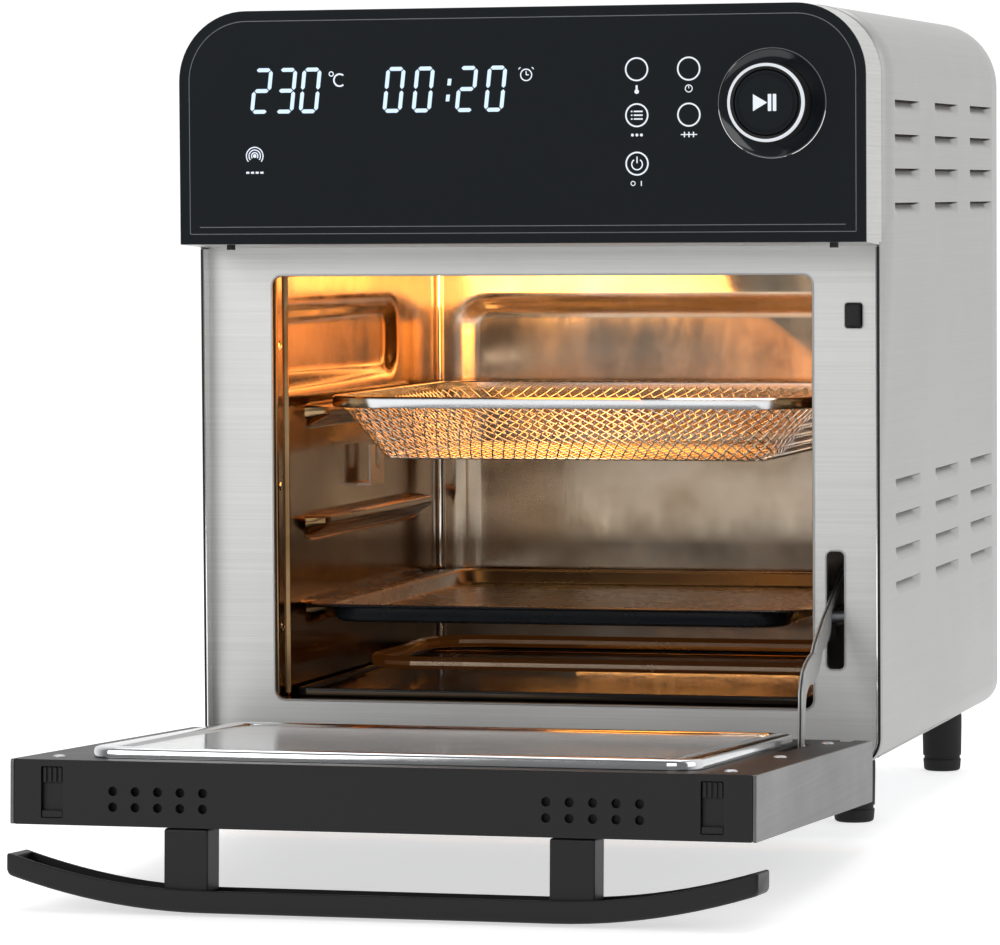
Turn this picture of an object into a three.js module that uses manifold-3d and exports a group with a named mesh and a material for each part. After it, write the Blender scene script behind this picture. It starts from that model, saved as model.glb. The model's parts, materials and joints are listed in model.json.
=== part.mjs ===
// Counter-top air-fryer oven with a drop-down door, a mesh basket and a baking tray.
// Millimetres, +Z up. Sizes below are given from two datums that a bench fitter would use:
// Y from the front face of the steel fascia, growing towards the back, and Z from the table
// that the feet stand on. The whole oven is then hung on a group whose origin is the centre
// of the pressed panel under the base plate.
import * as THREE from "three";
import { mergeVertices } from "three/addons/utils/BufferGeometryUtils.js";
import Module from "manifold-3d";

const wasm = await Module();
wasm.setup();

// ---- driving dimensions ----
const BODY_WIDTH = 340;
const BODY_DEPTH = 321;
const FOOT_HEIGHT = 33.4;
const SHEET = 1.2;
const FIT = 0.3;
const TOP_Z = 398.6;
const TOP_RADIUS = 34;
const BOTTOM_RADIUS = 14;
const RIM_REACH = 7.3;

const PANEL = { bottom: 285.4, top: 398.3, reach: 38.8, bezel: 1, border: 5, glass: 3 };
const OPENING = { half: 135.8, bottom: 60.2, top: 269.5, radius: 5 };
const STAY_SLOT = { x0: 142, x1: 151.2, z0: 79.5, z1: 136.9 };
const SWITCH_HOLE = { x0: 151.5, x1: 160.3, z0: 243.7, z1: 256 };

const CAVITY = { half: 133.5, floor: 60.4, ceiling: 271, back: 289, wall: 1 };
const RAIL = { reach: 10, height: 6, front: 42, length: 212 };
const BASKET_RAIL_Z = 202.4;
const MIDDLE_RAIL_Z = 147;
const TRAY_RAIL_Z = 104.4;
const SPIT_Z = 171;

const DIAL = { x: 124.8, z: 351.1, bezel: 26.2, knob: 19, button: 15.4, reach: 14.5 };

const DOOR = { half: 169.8, bottom: 24, top: 281.5, inner: -9.5, thickness: 29, trim: 1.5 };
const HINGE = { y: -30.7, z: 27.4, open: 87.57, x: 157.5 };
const GRIP = { post: 88, drop: 37.4, half: 171, flat: 80, bend: 280 };
const STAY = { x: 145, thick: 2.4, along: 47.5, inset: 4 };

const BASKET = {
  half: 126, front: 40, back: 282, corner: 34, rim: 208.4, band: 5.6, depth: 32.6, taper: 28,
};
const TRAY = {
  half: 129, front: 22, back: 284, corner: 20, rim: 106, depth: 9, flange: 12, lip: 3, sheet: 1.2,
};
const FAN = { x: 0, y: 146, reach: 88, shroud: 34 };
const PRESSED = { drop: 1.5, half: 105, front: 76, back: 276 };
const FOOT = { x: 144, front: 57, back: 296, radius: 10.5 };
const VENT = { width: 12, pitch: 22 };
const BUMPER_Y = -33;

// ---- materials ----
const finish = (color, roughness, metalness, extra = {}) => () =>
  new THREE.MeshStandardMaterial({ color, roughness, metalness, ...extra });
const steel = finish(0xb9bab9, 0.38, 1);
const polished = finish(0xc9c7c2, 0.16, 1);
const galvanised = finish(0x9b9da0, 0.5, 1);
const blackPlastic = finish(0x161719, 0.45, 0);
const blackGlass = finish(0x14181c, 0.08, 0);
const enamel = finish(0x0d0e10, 0.25, 0.1);
const clearGlass = finish(0xaeb9be, 0.05, 0, { transparent: true, opacity: 0.35 });
const rubber = finish(0x121212, 0.85, 0);
const board = finish(0x1d5a35, 0.6, 0);
const heaterSteel = finish(0x8a5a3a, 0.4, 1);

// ---- solids ----
function solidOf(geometry) {
  const bare = geometry.clone();
  bare.deleteAttribute("normal");
  bare.deleteAttribute("uv");
  const merged = mergeVertices(bare, 1e-4);
  return new wasm.Manifold(new wasm.Mesh({
    numProp: 3,
    vertProperties: new Float32Array(merged.attributes.position.array),
    triVerts: new Uint32Array(merged.index.array),
  }));
}

function geometryOf(solid) {
  const mesh = solid.getMesh();
  const geometry = new THREE.BufferGeometry();
  geometry.setAttribute("position", new THREE.BufferAttribute(new Float32Array(mesh.vertProperties), 3));
  geometry.setIndex(new THREE.BufferAttribute(new Uint32Array(mesh.triVerts), 1));
  geometry.computeVertexNormals();
  return geometry;
}

const cut = (base, ...tools) =>
  geometryOf(tools.reduce((solid, tool) => solid.subtract(solidOf(tool)), solidOf(base)));
const join = (base, ...others) =>
  geometryOf(others.reduce((solid, other) => solid.add(solidOf(other)), solidOf(base)));

// A block between two corners.
function block(x0, x1, y0, y1, z0, z1) {
  const shape = new THREE.BoxGeometry(x1 - x0, y1 - y0, z1 - z0);
  return shape.translate((x0 + x1) / 2, (y0 + y1) / 2, (z0 + z1) / 2);
}

// Extrusions whose outline lies in the XZ, YZ or XY plane.
const EXTRUDE = { bevelEnabled: false, curveSegments: 6 };
const alongY = (shape, y0, y1) =>
  new THREE.ExtrudeGeometry(shape, { ...EXTRUDE, depth: y1 - y0 }).rotateX(Math.PI / 2).translate(0, y1, 0);
const alongX = (shape, x0, x1) =>
  new THREE.ExtrudeGeometry(shape, { ...EXTRUDE, depth: x1 - x0 })
    .rotateX(Math.PI / 2).rotateZ(Math.PI / 2).translate(x0, 0, 0);
const alongZ = (shape, z0, z1) =>
  new THREE.ExtrudeGeometry(shape, { ...EXTRUDE, depth: z1 - z0 }).translate(0, 0, z0);

// Round bars with a chosen axis.
function bar(axis, radius, from, to, a, b, sides = 20) {
  const shape = new THREE.CylinderGeometry(radius, radius, to - from, sides);
  const middle = (from + to) / 2;
  if (axis === "x") return shape.rotateZ(Math.PI / 2).translate(middle, a, b);
  if (axis === "y") return shape.translate(a, middle, b);
  return shape.rotateX(Math.PI / 2).translate(a, b, middle);
}

// A turned piece: profile points are [radius, height] and the axis is vertical.
function turned(profile, sides = 32) {
  const points = profile.map(([r, h]) => new THREE.Vector2(r, h));
  return new THREE.LatheGeometry(points, sides).rotateX(Math.PI / 2);
}

// A rectangle with its own radius at the lower and upper corners.
function rounded(x0, x1, y0, y1, low, high = low, Kind = THREE.Shape) {
  const path = new Kind();
  path.moveTo(x0 + low, y0);
  path.lineTo(x1 - low, y0);
  if (low) path.absarc(x1 - low, y0 + low, low, -Math.PI / 2, 0);
  path.lineTo(x1, y1 - high);
  if (high) path.absarc(x1 - high, y1 - high, high, 0, Math.PI / 2);
  path.lineTo(x0 + high, y1);
  if (high) path.absarc(x0 + high, y1 - high, high, Math.PI / 2, Math.PI);
  if (low) {
    path.lineTo(x0, y0 + low);
    path.absarc(x0 + low, y0 + low, low, Math.PI, Math.PI * 1.5);
  }
  return path;
}
const hole = (x0, x1, y0, y1, radius) => rounded(x0, x1, y0, y1, radius, radius, THREE.Path);
function roundHole(x, y, radius) {
  const path = new THREE.Path();
  path.absarc(x, y, radius, 0, Math.PI * 2);
  return path;
}
function shapeWith(outline, ...holes) {
  outline.holes.push(...holes);
  return outline;
}

// A round tube bent along a smooth line through the given points.
function tube(points, radius, steps, sides = 10) {
  const path = new THREE.CatmullRomCurve3(points.map((p) => new THREE.Vector3(...p)), false, "centripetal");
  const section = new THREE.Shape();
  section.absarc(0, 0, radius, 0, Math.PI * 2);
  return new THREE.ExtrudeGeometry(section, {
    steps, bevelEnabled: false, curveSegments: sides / 2, extrudePath: path,
  });
}

// ---- scene graph ----
const origin = new THREE.Group();
const oven = new THREE.Group();
oven.position.set(0, -BODY_DEPTH / 2, PRESSED.drop - FOOT_HEIGHT);
origin.add(oven);
const door = new THREE.Group();
door.position.set(0, HINGE.y, HINGE.z);
door.rotation.x = THREE.MathUtils.degToRad(HINGE.open);
oven.add(door);

// Turns a closed surface the right way out, by the sign of its volume.
function outward(geometry) {
  const bare = geometry.index ? geometry : mergeVertices(geometry);
  const at = bare.attributes.position;
  const index = Array.from(bare.index.array);
  const [a, b, c] = [new THREE.Vector3(), new THREE.Vector3(), new THREE.Vector3()];
  let volume = 0;
  for (let i = 0; i < index.length; i += 3) {
    a.fromBufferAttribute(at, index[i]);
    b.fromBufferAttribute(at, index[i + 1]);
    c.fromBufferAttribute(at, index[i + 2]);
    volume += a.dot(b.cross(c));
  }
  if (volume < 0) index.reverse();
  bare.setIndex(index);
  return bare;
}

function add(name, geometry, material, parent = oven) {
  const mesh = new THREE.Mesh(outward(geometry), material());
  mesh.name = name;
  parent.add(mesh);
}

// Door pieces are drawn with the door shut, then hung on the hinge.
const addDoor = (name, geometry, material) =>
  add(name, geometry.translate(0, -HINGE.y, -HINGE.z), material, door);

// ---- casing ----
function wrapOutline() {
  const w = BODY_WIDTH / 2;
  const shape = new THREE.Shape();
  const arc = (x, z, r, from, to, clockwise) => shape.absarc(x, z, r, from, to, clockwise);
  shape.moveTo(w - BOTTOM_RADIUS, FOOT_HEIGHT);
  arc(w - BOTTOM_RADIUS, FOOT_HEIGHT + BOTTOM_RADIUS, BOTTOM_RADIUS, -Math.PI / 2, 0, false);
  arc(w - TOP_RADIUS, TOP_Z - TOP_RADIUS, TOP_RADIUS, 0, Math.PI / 2, false);
  arc(TOP_RADIUS - w, TOP_Z - TOP_RADIUS, TOP_RADIUS, Math.PI / 2, Math.PI, false);
  arc(BOTTOM_RADIUS - w, FOOT_HEIGHT + BOTTOM_RADIUS, BOTTOM_RADIUS, Math.PI, Math.PI * 1.5, false);
  arc(BOTTOM_RADIUS - w, FOOT_HEIGHT + BOTTOM_RADIUS, BOTTOM_RADIUS - SHEET, Math.PI * 1.5, Math.PI, true);
  arc(TOP_RADIUS - w, TOP_Z - TOP_RADIUS, TOP_RADIUS - SHEET, Math.PI, Math.PI / 2, true);
  arc(w - TOP_RADIUS, TOP_Z - TOP_RADIUS, TOP_RADIUS - SHEET, Math.PI / 2, 0, true);
  arc(w - BOTTOM_RADIUS, FOOT_HEIGHT + BOTTOM_RADIUS, BOTTOM_RADIUS - SHEET, 0, -Math.PI / 2, true);
  return shape;
}

// Cooling louvres: four rows of three on the upper and lower part of both sides. Each is a
// straight cut in the sheet, which is pressed inwards below the cut.
const LOUVRE = { width: 66, height: 6.5, depth: 4, gap: 0.8, rows: 4, pitch: 16.6 };
const LOUVRE_COLUMNS = [32, 138, 238];
const LOUVRE_TOPS = [353.4, 169.7];

function louvrePlaces() {
  const places = [];
  for (const side of [-1, 1])
    for (const top of LOUVRE_TOPS)
      for (let row = 0; row < LOUVRE.rows; row++)
        for (const y of LOUVRE_COLUMNS) places.push({ side, y, z: top - row * LOUVRE.pitch });
  return places;
}

function louvreWindow({ side, y, z }) {
  const wall = side * BODY_WIDTH / 2;
  return block(wall - 2, wall + 2, y, y + LOUVRE.width, z - LOUVRE.height, z);
}

function louvreRamp({ side, y, z }) {
  const wall = BODY_WIDTH / 2;
  const section = new THREE.Shape();
  section.moveTo(side * (wall - 0.1), z - LOUVRE.height);
  section.lineTo(side * (wall - SHEET), z - LOUVRE.height - LOUVRE.gap);
  section.lineTo(side * (wall - LOUVRE.depth - SHEET), z - LOUVRE.gap);
  section.lineTo(side * (wall - LOUVRE.depth), z - LOUVRE.gap);
  return alongY(section, y, y + LOUVRE.width);
}

function casing() {
  const sheet = alongY(wrapOutline(), -RIM_REACH, BODY_DEPTH - 2);
  const notch = block(-BODY_WIDTH, BODY_WIDTH, -BODY_DEPTH, -0.6, PANEL.bottom - FIT, TOP_Z + 10);
  const places = louvrePlaces();
  add("outer_wrap", join(cut(sheet, notch, ...places.map(louvreWindow)), ...places.map(louvreRamp)), steel);

  const inner = BODY_WIDTH / 2 - SHEET - FIT;
  const edge = BODY_WIDTH / 2 - BOTTOM_RADIUS - FIT;
  const base = block(-edge, edge, 2, BODY_DEPTH - 3, FOOT_HEIGHT, FOOT_HEIGHT + SHEET);
  const { drop, half, front, back: rear } = PRESSED;
  const pressed = block(-half, half, front, rear, FOOT_HEIGHT - drop, FOOT_HEIGHT + SHEET / 2);
  add("base_plate", join(base, pressed), galvanised);

  const fascia = shapeWith(
    rounded(-inner, inner, FOOT_HEIGHT + SHEET + FIT, PANEL.bottom + 14, BOTTOM_RADIUS + 1, 0),
    hole(-OPENING.half, OPENING.half, OPENING.bottom, OPENING.top, OPENING.radius),
    hole(STAY_SLOT.x0, STAY_SLOT.x1, STAY_SLOT.z0, STAY_SLOT.z1, 3),
    hole(SWITCH_HOLE.x0, SWITCH_HOLE.x1, SWITCH_HOLE.z0, SWITCH_HOLE.z1, 1.5),
  );
  add("front_fascia", alongY(fascia, 0, SHEET), steel);

  const vents = [];
  const vent = (x, z, height) => block(x, x + VENT.width, BODY_DEPTH - 5, BODY_DEPTH + 5, z, z + height);
  for (let column = 0; column < 9; column++)
    for (const z of [318, 346]) vents.push(vent(-94 + column * VENT.pitch, z, 20));
  for (let column = 0; column < 7; column++) vents.push(vent(-70 + column * VENT.pitch, 78, 40));
  const back = shapeWith(
    rounded(-inner, inner, FOOT_HEIGHT + SHEET + FIT, TOP_Z - SHEET - FIT,
      BOTTOM_RADIUS - SHEET - FIT, TOP_RADIUS - SHEET - FIT),
    roundHole(118, 68, 8.2),
  );
  add("back_panel", cut(alongY(back, BODY_DEPTH - SHEET, BODY_DEPTH), ...vents), galvanised);

  const gland = turned([[0, 0], [5.5, 0], [5.5, 8], [7.9, 8], [7.9, 12], [12, 12], [12, 15], [0, 15]], 24)
    .rotateX(-Math.PI / 2).translate(118, BODY_DEPTH - 12 + FIT, 68);
  add("cord_gland", gland, blackPlastic);

  for (const [name, x, y] of [
    ["foot_front_left", -FOOT.x, FOOT.front], ["foot_front_right", FOOT.x, FOOT.front],
    ["foot_rear_left", -FOOT.x, FOOT.back], ["foot_rear_right", FOOT.x, FOOT.back],
  ]) {
    const r = FOOT.radius;
    const profile = [[0, 0], [r - 1.5, 0], [r - 0.8, 1], [r, FOOT_HEIGHT - FIT], [0, FOOT_HEIGHT - FIT]];
    add(name, turned(profile, 24).translate(x, y, 0), rubber);
  }
}

// ---- cooking cavity ----
function rails(z) {
  return [-1, 1].map((side) => {
    const section = new THREE.Shape();
    section.moveTo(side * (CAVITY.half + 0.5), z - RAIL.height);
    section.lineTo(side * (CAVITY.half - RAIL.reach), z - 1.5);
    section.lineTo(side * (CAVITY.half - RAIL.reach), z);
    section.lineTo(side * (CAVITY.half + 0.5), z);
    return alongY(section, RAIL.front, RAIL.front + RAIL.length);
  });
}

function cavity() {
  const { half, floor, ceiling, back, wall } = CAVITY;
  const outside = rounded(-half - wall, half + wall, floor - wall, ceiling + wall, 3);
  const tunnel = shapeWith(outside, hole(-half, half, floor, ceiling, 2));
  const fanHole = bar("z", FAN.reach, ceiling - 5, ceiling + 5, FAN.x, FAN.y, 40);
  const driveHole = bar("x", 7, half - 5, half + 5, FAN.y, SPIT_Z, 16);
  const shell = cut(alongY(tunnel, SHEET + FIT, back), fanHole, driveHole);
  const ledges = [BASKET_RAIL_Z, MIDDLE_RAIL_Z, TRAY_RAIL_Z].flatMap(rails);
  add("cavity_liner", join(shell, ...ledges), polished);

  add("cavity_back", alongY(rounded(-half - wall, half + wall, floor - wall, ceiling + wall, 3),
    back + FIT, back + FIT + wall), polished);

  const pan = { x: half - 3, y0: 14, y1: back - 8, z: floor + FIT };
  const panOuter = block(-pan.x, pan.x, pan.y0, pan.y1, pan.z, pan.z + 4);
  const panHollow = block(-pan.x + 1, pan.x - 1, pan.y0 + 1, pan.y1 - 1, pan.z + 1, pan.z + 9);
  add("crumb_tray", cut(panOuter, panHollow), enamel);
}

// ---- heating and air ----
function heating() {
  const z = CAVITY.floor + 12;
  const right = CAVITY.half - 1;
  const lower = [[right, 78, z], [60, 78, z], [-60, 78, z], [-98, 80, z], [-112, 96, z], [-112, 146, z],
    [-112, 196, z], [-98, 212, z], [-60, 214, z], [60, 214, z], [right, 214, z]];
  add("bottom_heater", tube(lower, 3.2, 44), heaterSteel);

  const ring = [];
  const turns = 16;
  for (let i = 0; i <= turns; i++) {
    const angle = (i / turns) * Math.PI * 1.82 + 0.28;
    ring.push([FAN.x + 74 * Math.cos(angle), FAN.y + 74 * Math.sin(angle), CAVITY.ceiling + 8]);
  }
  add("top_heater", tube(ring, 3.2, 44), heaterSteel);

  const guard = new THREE.Shape();
  guard.absarc(0, 0, FAN.reach + 9, 0, Math.PI * 2);
  const slots = [];
  for (const [count, from, to, width] of [[16, 52, 80, 3.2], [8, 20, 42, 3.2]])
    for (let i = 0; i < count; i++) {
      const angle = (i / count) * Math.PI * 2;
      const across = [Math.cos(angle), Math.sin(angle)];
      const corner = (r, s) => [r * across[0] - s * across[1], r * across[1] + s * across[0]];
      const slot = new THREE.Path();
      slot.moveTo(...corner(from, -width / 2));
      slot.lineTo(...corner(to, -width));
      slot.lineTo(...corner(to, width));
      slot.lineTo(...corner(from, width / 2));
      slots.push(slot);
    }
  const guardTop = CAVITY.ceiling - FIT;
  add("air_guard", alongZ(shapeWith(guard, ...slots), guardTop - SHEET, guardTop)
    .translate(FAN.x, FAN.y, 0), polished);

  const s = CAVITY.ceiling + CAVITY.wall + FIT;
  const top = s + FAN.shroud;
  const shroud = turned([[FAN.reach + 6, 0], [FAN.reach + 6, 1], [FAN.reach + 1, 1],
    [FAN.reach - 3, FAN.shroud], [7, FAN.shroud], [7, FAN.shroud - 1], [FAN.reach - 4, FAN.shroud - 1],
    [FAN.reach, 0], [FAN.reach + 6, 0]], 40);
  add("fan_shroud", shroud.translate(FAN.x, FAN.y, s), galvanised);

  const hubZ = top - 22;
  let wheel = bar("z", 60, hubZ + 8, hubZ + 9.2, FAN.x, FAN.y, 32);
  const vanes = [];
  for (let i = 0; i < 10; i++)
    vanes.push(block(18, 58, -0.6, 0.6, -6, 8.4).rotateZ((i / 10) * Math.PI * 2)
      .translate(FAN.x, FAN.y, hubZ));
  wheel = join(wheel, ...vanes, bar("z", 9, hubZ - 4, hubZ + 12, FAN.x, FAN.y, 16));
  add("fan_wheel", cut(wheel, bar("z", 3, hubZ - 10, hubZ + 20, FAN.x, FAN.y, 16)), galvanised);
  add("motor_shaft", bar("z", 2.6, hubZ - 6, top + 11, FAN.x, FAN.y, 16), steel);

  const motor = join(bar("z", 31, top + 6, top + 44, FAN.x, FAN.y, 28),
    block(-44, 44, FAN.y - 6, FAN.y + 6, top + 6, top + 9));
  add("fan_motor", cut(motor, bar("z", 3, top, top + 12, FAN.x, FAN.y, 16)), galvanised);
}

// ---- rotisserie drive ----
function rotisserie() {
  const { half, wall } = CAVITY;
  const y = FAN.y;
  const z = SPIT_Z;
  const socket = cut(bar("x", 5.6, half - 9, half + 6, y, z, 16),
    block(half - 10, half + 1, y - 2.6, y + 2.6, z - 2.6, z + 2.6));
  add("spit_socket", socket, steel);
  const gearbox = block(half + 8, half + 30, y - 24, y + 24, z - 24, z + 24);
  add("spit_motor", gearbox, blackPlastic);

  const fork = new THREE.Shape();
  fork.moveTo(y - 12, z - 12);
  fork.lineTo(y + 12, z - 12);
  fork.lineTo(y + 12, z + 9);
  fork.lineTo(y + 4, z + 9);
  fork.lineTo(y + 4, z);
  fork.absarc(y, z, 4, 0, Math.PI, true);
  fork.lineTo(y - 4, z + 9);
  fork.lineTo(y - 12, z + 9);
  const plate = alongX(fork, -half + 7, -half + 8.2);
  const foot = block(-half + FIT, -half + 8.2, y - 12, y + 12, z - 12, z - 10.8);
  add("spit_bracket", join(plate, foot), steel);
}

// ---- control panel ----
function controls() {
  const { bottom, top, reach, bezel, border, glass } = PANEL;
  const w = BODY_WIDTH / 2 - 0.1;
  const outline = (inset, Kind) =>
    rounded(-w + inset, w - inset, bottom + inset, top - inset, 0, TOP_RADIUS - inset, Kind);
  const band = shapeWith(outline(0), outline(SHEET, THREE.Path));
  add("control_housing", alongY(band, -reach + bezel + FIT, -1), steel);
  add("control_bezel", alongY(shapeWith(outline(0), outline(border, THREE.Path)), -reach, -reach + bezel),
    blackPlastic);

  const window = outline(border + FIT);
  const face = shapeWith(window, roundHole(DIAL.x, DIAL.z, 9));
  add("control_glass", alongY(face, -reach + 0.2, -reach + 0.2 + glass), blackGlass);

  const inside = -reach + glass + 0.6;
  const carrier = shapeWith(outline(SHEET + 1), roundHole(DIAL.x, DIAL.z, 9));
  add("control_carrier", alongY(carrier, inside, inside + 2.5), blackPlastic);
  add("display_module", block(-140, 16, inside + 2.8, inside + 8, 342, 376), blackPlastic);
  add("key_board", block(50, 94, inside + 2.8, inside + 4.4, 312, 378), board);
  add("power_board", block(-130, -40, 40, 200, 345, 346.6), board);

  const { x, z } = DIAL;
  const round = (profile, sides) => turned(profile, sides).rotateX(Math.PI / 2).translate(x, 0, z);
  const f = -reach + 0.2 - FIT;
  const clear = DIAL.knob + 0.6;
  const seat = round([[clear, -f], [DIAL.bezel - 2, -f], [DIAL.bezel, 1 - f],
    [DIAL.bezel - 0.6, 2.2 - f], [clear, 1.1 - f], [clear, -f]], 48);
  add("dial_bezel", seat, blackPlastic);
  const k = -f + 0.4;
  const bore = DIAL.button + 0.4;
  const nose = k + DIAL.reach;
  const ring = round([[bore, k + 6], [bore, nose - 1], [DIAL.knob - 1, nose], [DIAL.knob, nose - 1],
    [DIAL.knob, k], [4, k], [4, k - 10], [3.2, k - 10], [3.2, k + 6], [bore, k + 6]], 48);
  add("dial_knob", ring, blackPlastic);
  const button = [[0, k + 8.2], [DIAL.button, k + 8.2], [DIAL.button, nose - 1.4], [0, nose - 1.4]];
  add("start_button", round(button, 48), blackPlastic);
  const encoder = cut(block(x - 8, x + 8, inside + 2.8, inside + 14, z - 8, z + 8),
    bar("y", 4.3, inside, inside + 9, x, z, 20));
  add("dial_encoder", encoder, blackPlastic);
}

// ---- door, drawn shut ----
function doorPieces() {
  const { half, bottom, top, inner, thickness, trim } = DOOR;
  const outer = inner - thickness;
  const face = outer + 3.4;
  const side = half - trim;

  const notches = [-1, 1].map((s) => {
    const edges = [s * (HINGE.x - 3.2), s * (HINGE.x + 3.2)].sort((a, b) => a - b);
    return block(...edges, outer + 2.6, inner + 1, bottom - 1, bottom + 11);
  });
  const pinBores = [-1, 1].map((s) => {
    const edges = [s * (HINGE.x - 8), s * (HINGE.x + 8)].sort((a, b) => a - b);
    return bar("x", 2.8, ...edges, HINGE.y, HINGE.z, 16);
  });
  const pocket = block(STAY.x - 2.6, STAY.x + 2.6, inner - 15, inner + 1, bottom + STAY.along - 8,
    bottom + STAY.along + 48);
  const frame = alongY(shapeWith(
    rounded(-side + FIT, side - FIT, bottom, top - 4.3, 0),
    hole(-120, 120, bottom + 52, bottom + 220, 6),
  ), face, inner);
  const stayBore = bar("x", 2.1, STAY.x - 7, STAY.x + 7, inner - STAY.inset, bottom + STAY.along, 12);
  addDoor("door_frame", cut(frame, ...notches, ...pinBores, pocket, stayBore), blackPlastic);

  const vents = [];
  for (const x0 of [-121.7, 76.5])
    for (let column = 0; column < 5; column++)
      for (const depth of [13.5, 20.5]) vents.push(roundHole(x0 + column * 10.45, inner - depth, 2));
  const cap = shapeWith(rounded(-side + FIT, side - FIT, outer, inner, 0),
    hole(-155.4, -145.2, inner - thickness + 3, inner - 3, 0.6),
    hole(145.2, 155.4, inner - thickness + 3, inner - 3, 0.6), ...vents);
  addDoor("door_top_cap", alongZ(cap, top - 4, top), blackPlastic);
  for (const [name, s] of [["corner_clip_left", -1], ["corner_clip_right", 1]]) {
    const edges = [s * 145.5, s * 155.1].sort((a, b) => a - b);
    addDoor(name, block(...edges, outer + 3.3, inner - 3.3, top - 3.6, top - 0.6), blackPlastic);
  }

  for (const [name, s] of [["door_trim_left", -1], ["door_trim_right", 1]]) {
    const edges = [s * side, s * half].sort((a, b) => a - b);
    addDoor(name, block(...edges, outer, inner, bottom, top), steel);
  }

  const front = rounded(-side + FIT, side - FIT, bottom + 1, top - 4.3, 0);
  addDoor("door_outer_glass", alongY(front, outer, face - FIT), blackGlass);

  const bezel = alongY(shapeWith(rounded(-140, 140, bottom + 30, bottom + 242, 10),
    hole(-126, 126, bottom + 44, bottom + 228, 6)), inner + FIT, inner + 5);
  addDoor("door_inner_bezel", bezel, polished);
  addDoor("door_inner_glass", alongY(rounded(-125.6, 125.6, bottom + 44.4, bottom + 227.6, 6),
    inner + FIT, inner + 4), clearGlass);
  handle(outer, top);
  hinges();
}

// The grip is a bar that bends back towards the door at both ends, on two square posts.
function handle(outer, top) {
  const reach = outer - GRIP.drop;
  const posts = [["handle_post_left", -GRIP.post], ["handle_post_right", GRIP.post]];
  for (const [name, x] of posts)
    addDoor(name, block(x - 10.2, x + 10.2, reach + 5.4, outer - FIT, top - 18.4, top - 1.2), blackPlastic);

  const curve = (x) => Math.max(0, Math.abs(x) - GRIP.flat) ** 2 / (2 * GRIP.bend);
  const bent = [GRIP.flat, 110, 128, 144, 158, GRIP.half];
  const stations = [...bent.map((x) => -x).reverse(), ...bent];
  const gripShape = new THREE.Shape();
  gripShape.moveTo(stations[0], reach + curve(stations[0]));
  for (const x of stations.slice(1)) gripShape.lineTo(x, reach + curve(x));
  for (const x of [...stations].reverse()) gripShape.lineTo(x * 0.99, reach + 10 + curve(x * 0.99));
  const grip = alongZ(gripShape, top - 22, top + 1.6);
  const troughShape = new THREE.Shape();
  const inset = stations.map((x) => x * 0.975);
  troughShape.moveTo(inset[0], reach + 4 + curve(inset[0]));
  for (const x of inset.slice(1)) troughShape.lineTo(x, reach + 4 + curve(x));
  for (const x of [...inset].reverse()) troughShape.lineTo(x, reach + 14 + curve(x));
  addDoor("handle_bar", cut(grip, alongZ(troughShape, top - 19.6, top - 0.4)), blackPlastic);
}

function hinges() {
  for (const [hand, s] of [["left", -1], ["right", 1]]) {
    const ear = new THREE.Shape();
    ear.moveTo(HINGE.y, HINGE.z - 4.2);
    ear.lineTo(26, HINGE.z - 4.2);
    ear.lineTo(26, FOOT_HEIGHT - FIT);
    ear.lineTo(-4, FOOT_HEIGHT - FIT);
    ear.lineTo(-8, HINGE.z + 4.2);
    ear.lineTo(HINGE.y, HINGE.z + 4.2);
    ear.absarc(HINGE.y, HINGE.z, 4.2, Math.PI / 2, Math.PI * 1.5, false);
    ear.holes.push(roundHole(HINGE.y, HINGE.z, 2.8));
    const x = [s * (HINGE.x - 1.5), s * (HINGE.x + 1.5)].sort((a, b) => a - b);
    add(`hinge_bracket_${hand}`, alongX(ear, ...x), galvanised);
    const ends = [s * (HINGE.x - 7.6), s * (HINGE.x + 7.6)].sort((a, b) => a - b);
    addDoor(`hinge_pin_${hand}`, bar("x", 2.5, ...ends, HINGE.y, HINGE.z, 16), steel);
  }
}

// ---- door stay: a bent flat arm from the door to a guide behind the fascia slot ----
function stay() {
  const angle = THREE.MathUtils.degToRad(HINGE.open);
  const y = DOOR.inner - STAY.inset - HINGE.y;
  const z = DOOR.bottom + STAY.along - HINGE.z;
  const pivot = [HINGE.y + y * Math.cos(angle) - z * Math.sin(angle),
    HINGE.z + y * Math.sin(angle) + z * Math.cos(angle)];
  const spine = new THREE.SplineCurve([[0, 0], [1, 10.6], [2.5, 20.6], [7, 29], [16, 35], [29, 40.6],
    [45.5, 49.6], [74, 65.6], [102, 80.6]].map(([a, b]) => new THREE.Vector2(pivot[0] + a, pivot[1] + b)));
  const stem = 2.8;
  const belly = 5.4;
  const tail = 2.2;
  const half = (t) => (t < 0.2 ? stem : t < 0.3 ? stem + (t - 0.2) * 10 * (belly - stem)
    : Math.max(tail, belly - Math.max(0, t - 0.6) * 30));
  const count = 26;
  const left = [];
  const right = [];
  for (let i = 0; i <= count; i++) {
    const t = i / count;
    const at = spine.getPointAt(t);
    const way = spine.getTangentAt(t);
    left.push([at.x - way.y * half(t), at.y + way.x * half(t)]);
    right.push([at.x + way.y * half(t), at.y - way.x * half(t)]);
  }
  const outline = new THREE.Shape();
  outline.moveTo(...right[0]);
  for (const p of right.slice(1)) outline.lineTo(...p);
  for (const p of left.reverse()) outline.lineTo(...p);
  const [a, b] = pivot;
  const blade = join(alongX(outline, STAY.x - STAY.thick / 2, STAY.x + STAY.thick / 2),
    bar("x", 3.4, STAY.x - STAY.thick / 2, STAY.x + STAY.thick / 2, a, b, 16));
  add("stay_arm", cut(blade, bar("x", 2.1, STAY.x - 3, STAY.x + 3, a, b, 12)), steel);
  add("stay_pin", bar("x", 1.8, STAY.x - 6.5, STAY.x + 6.5, a, b, 12), steel);
  const guide = join(block(139.5, 141, 8, 30, 92, 116), bar("x", 3, 140, 152, 18, 104, 16));
  add("stay_guide", guide, galvanised);
}

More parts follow.
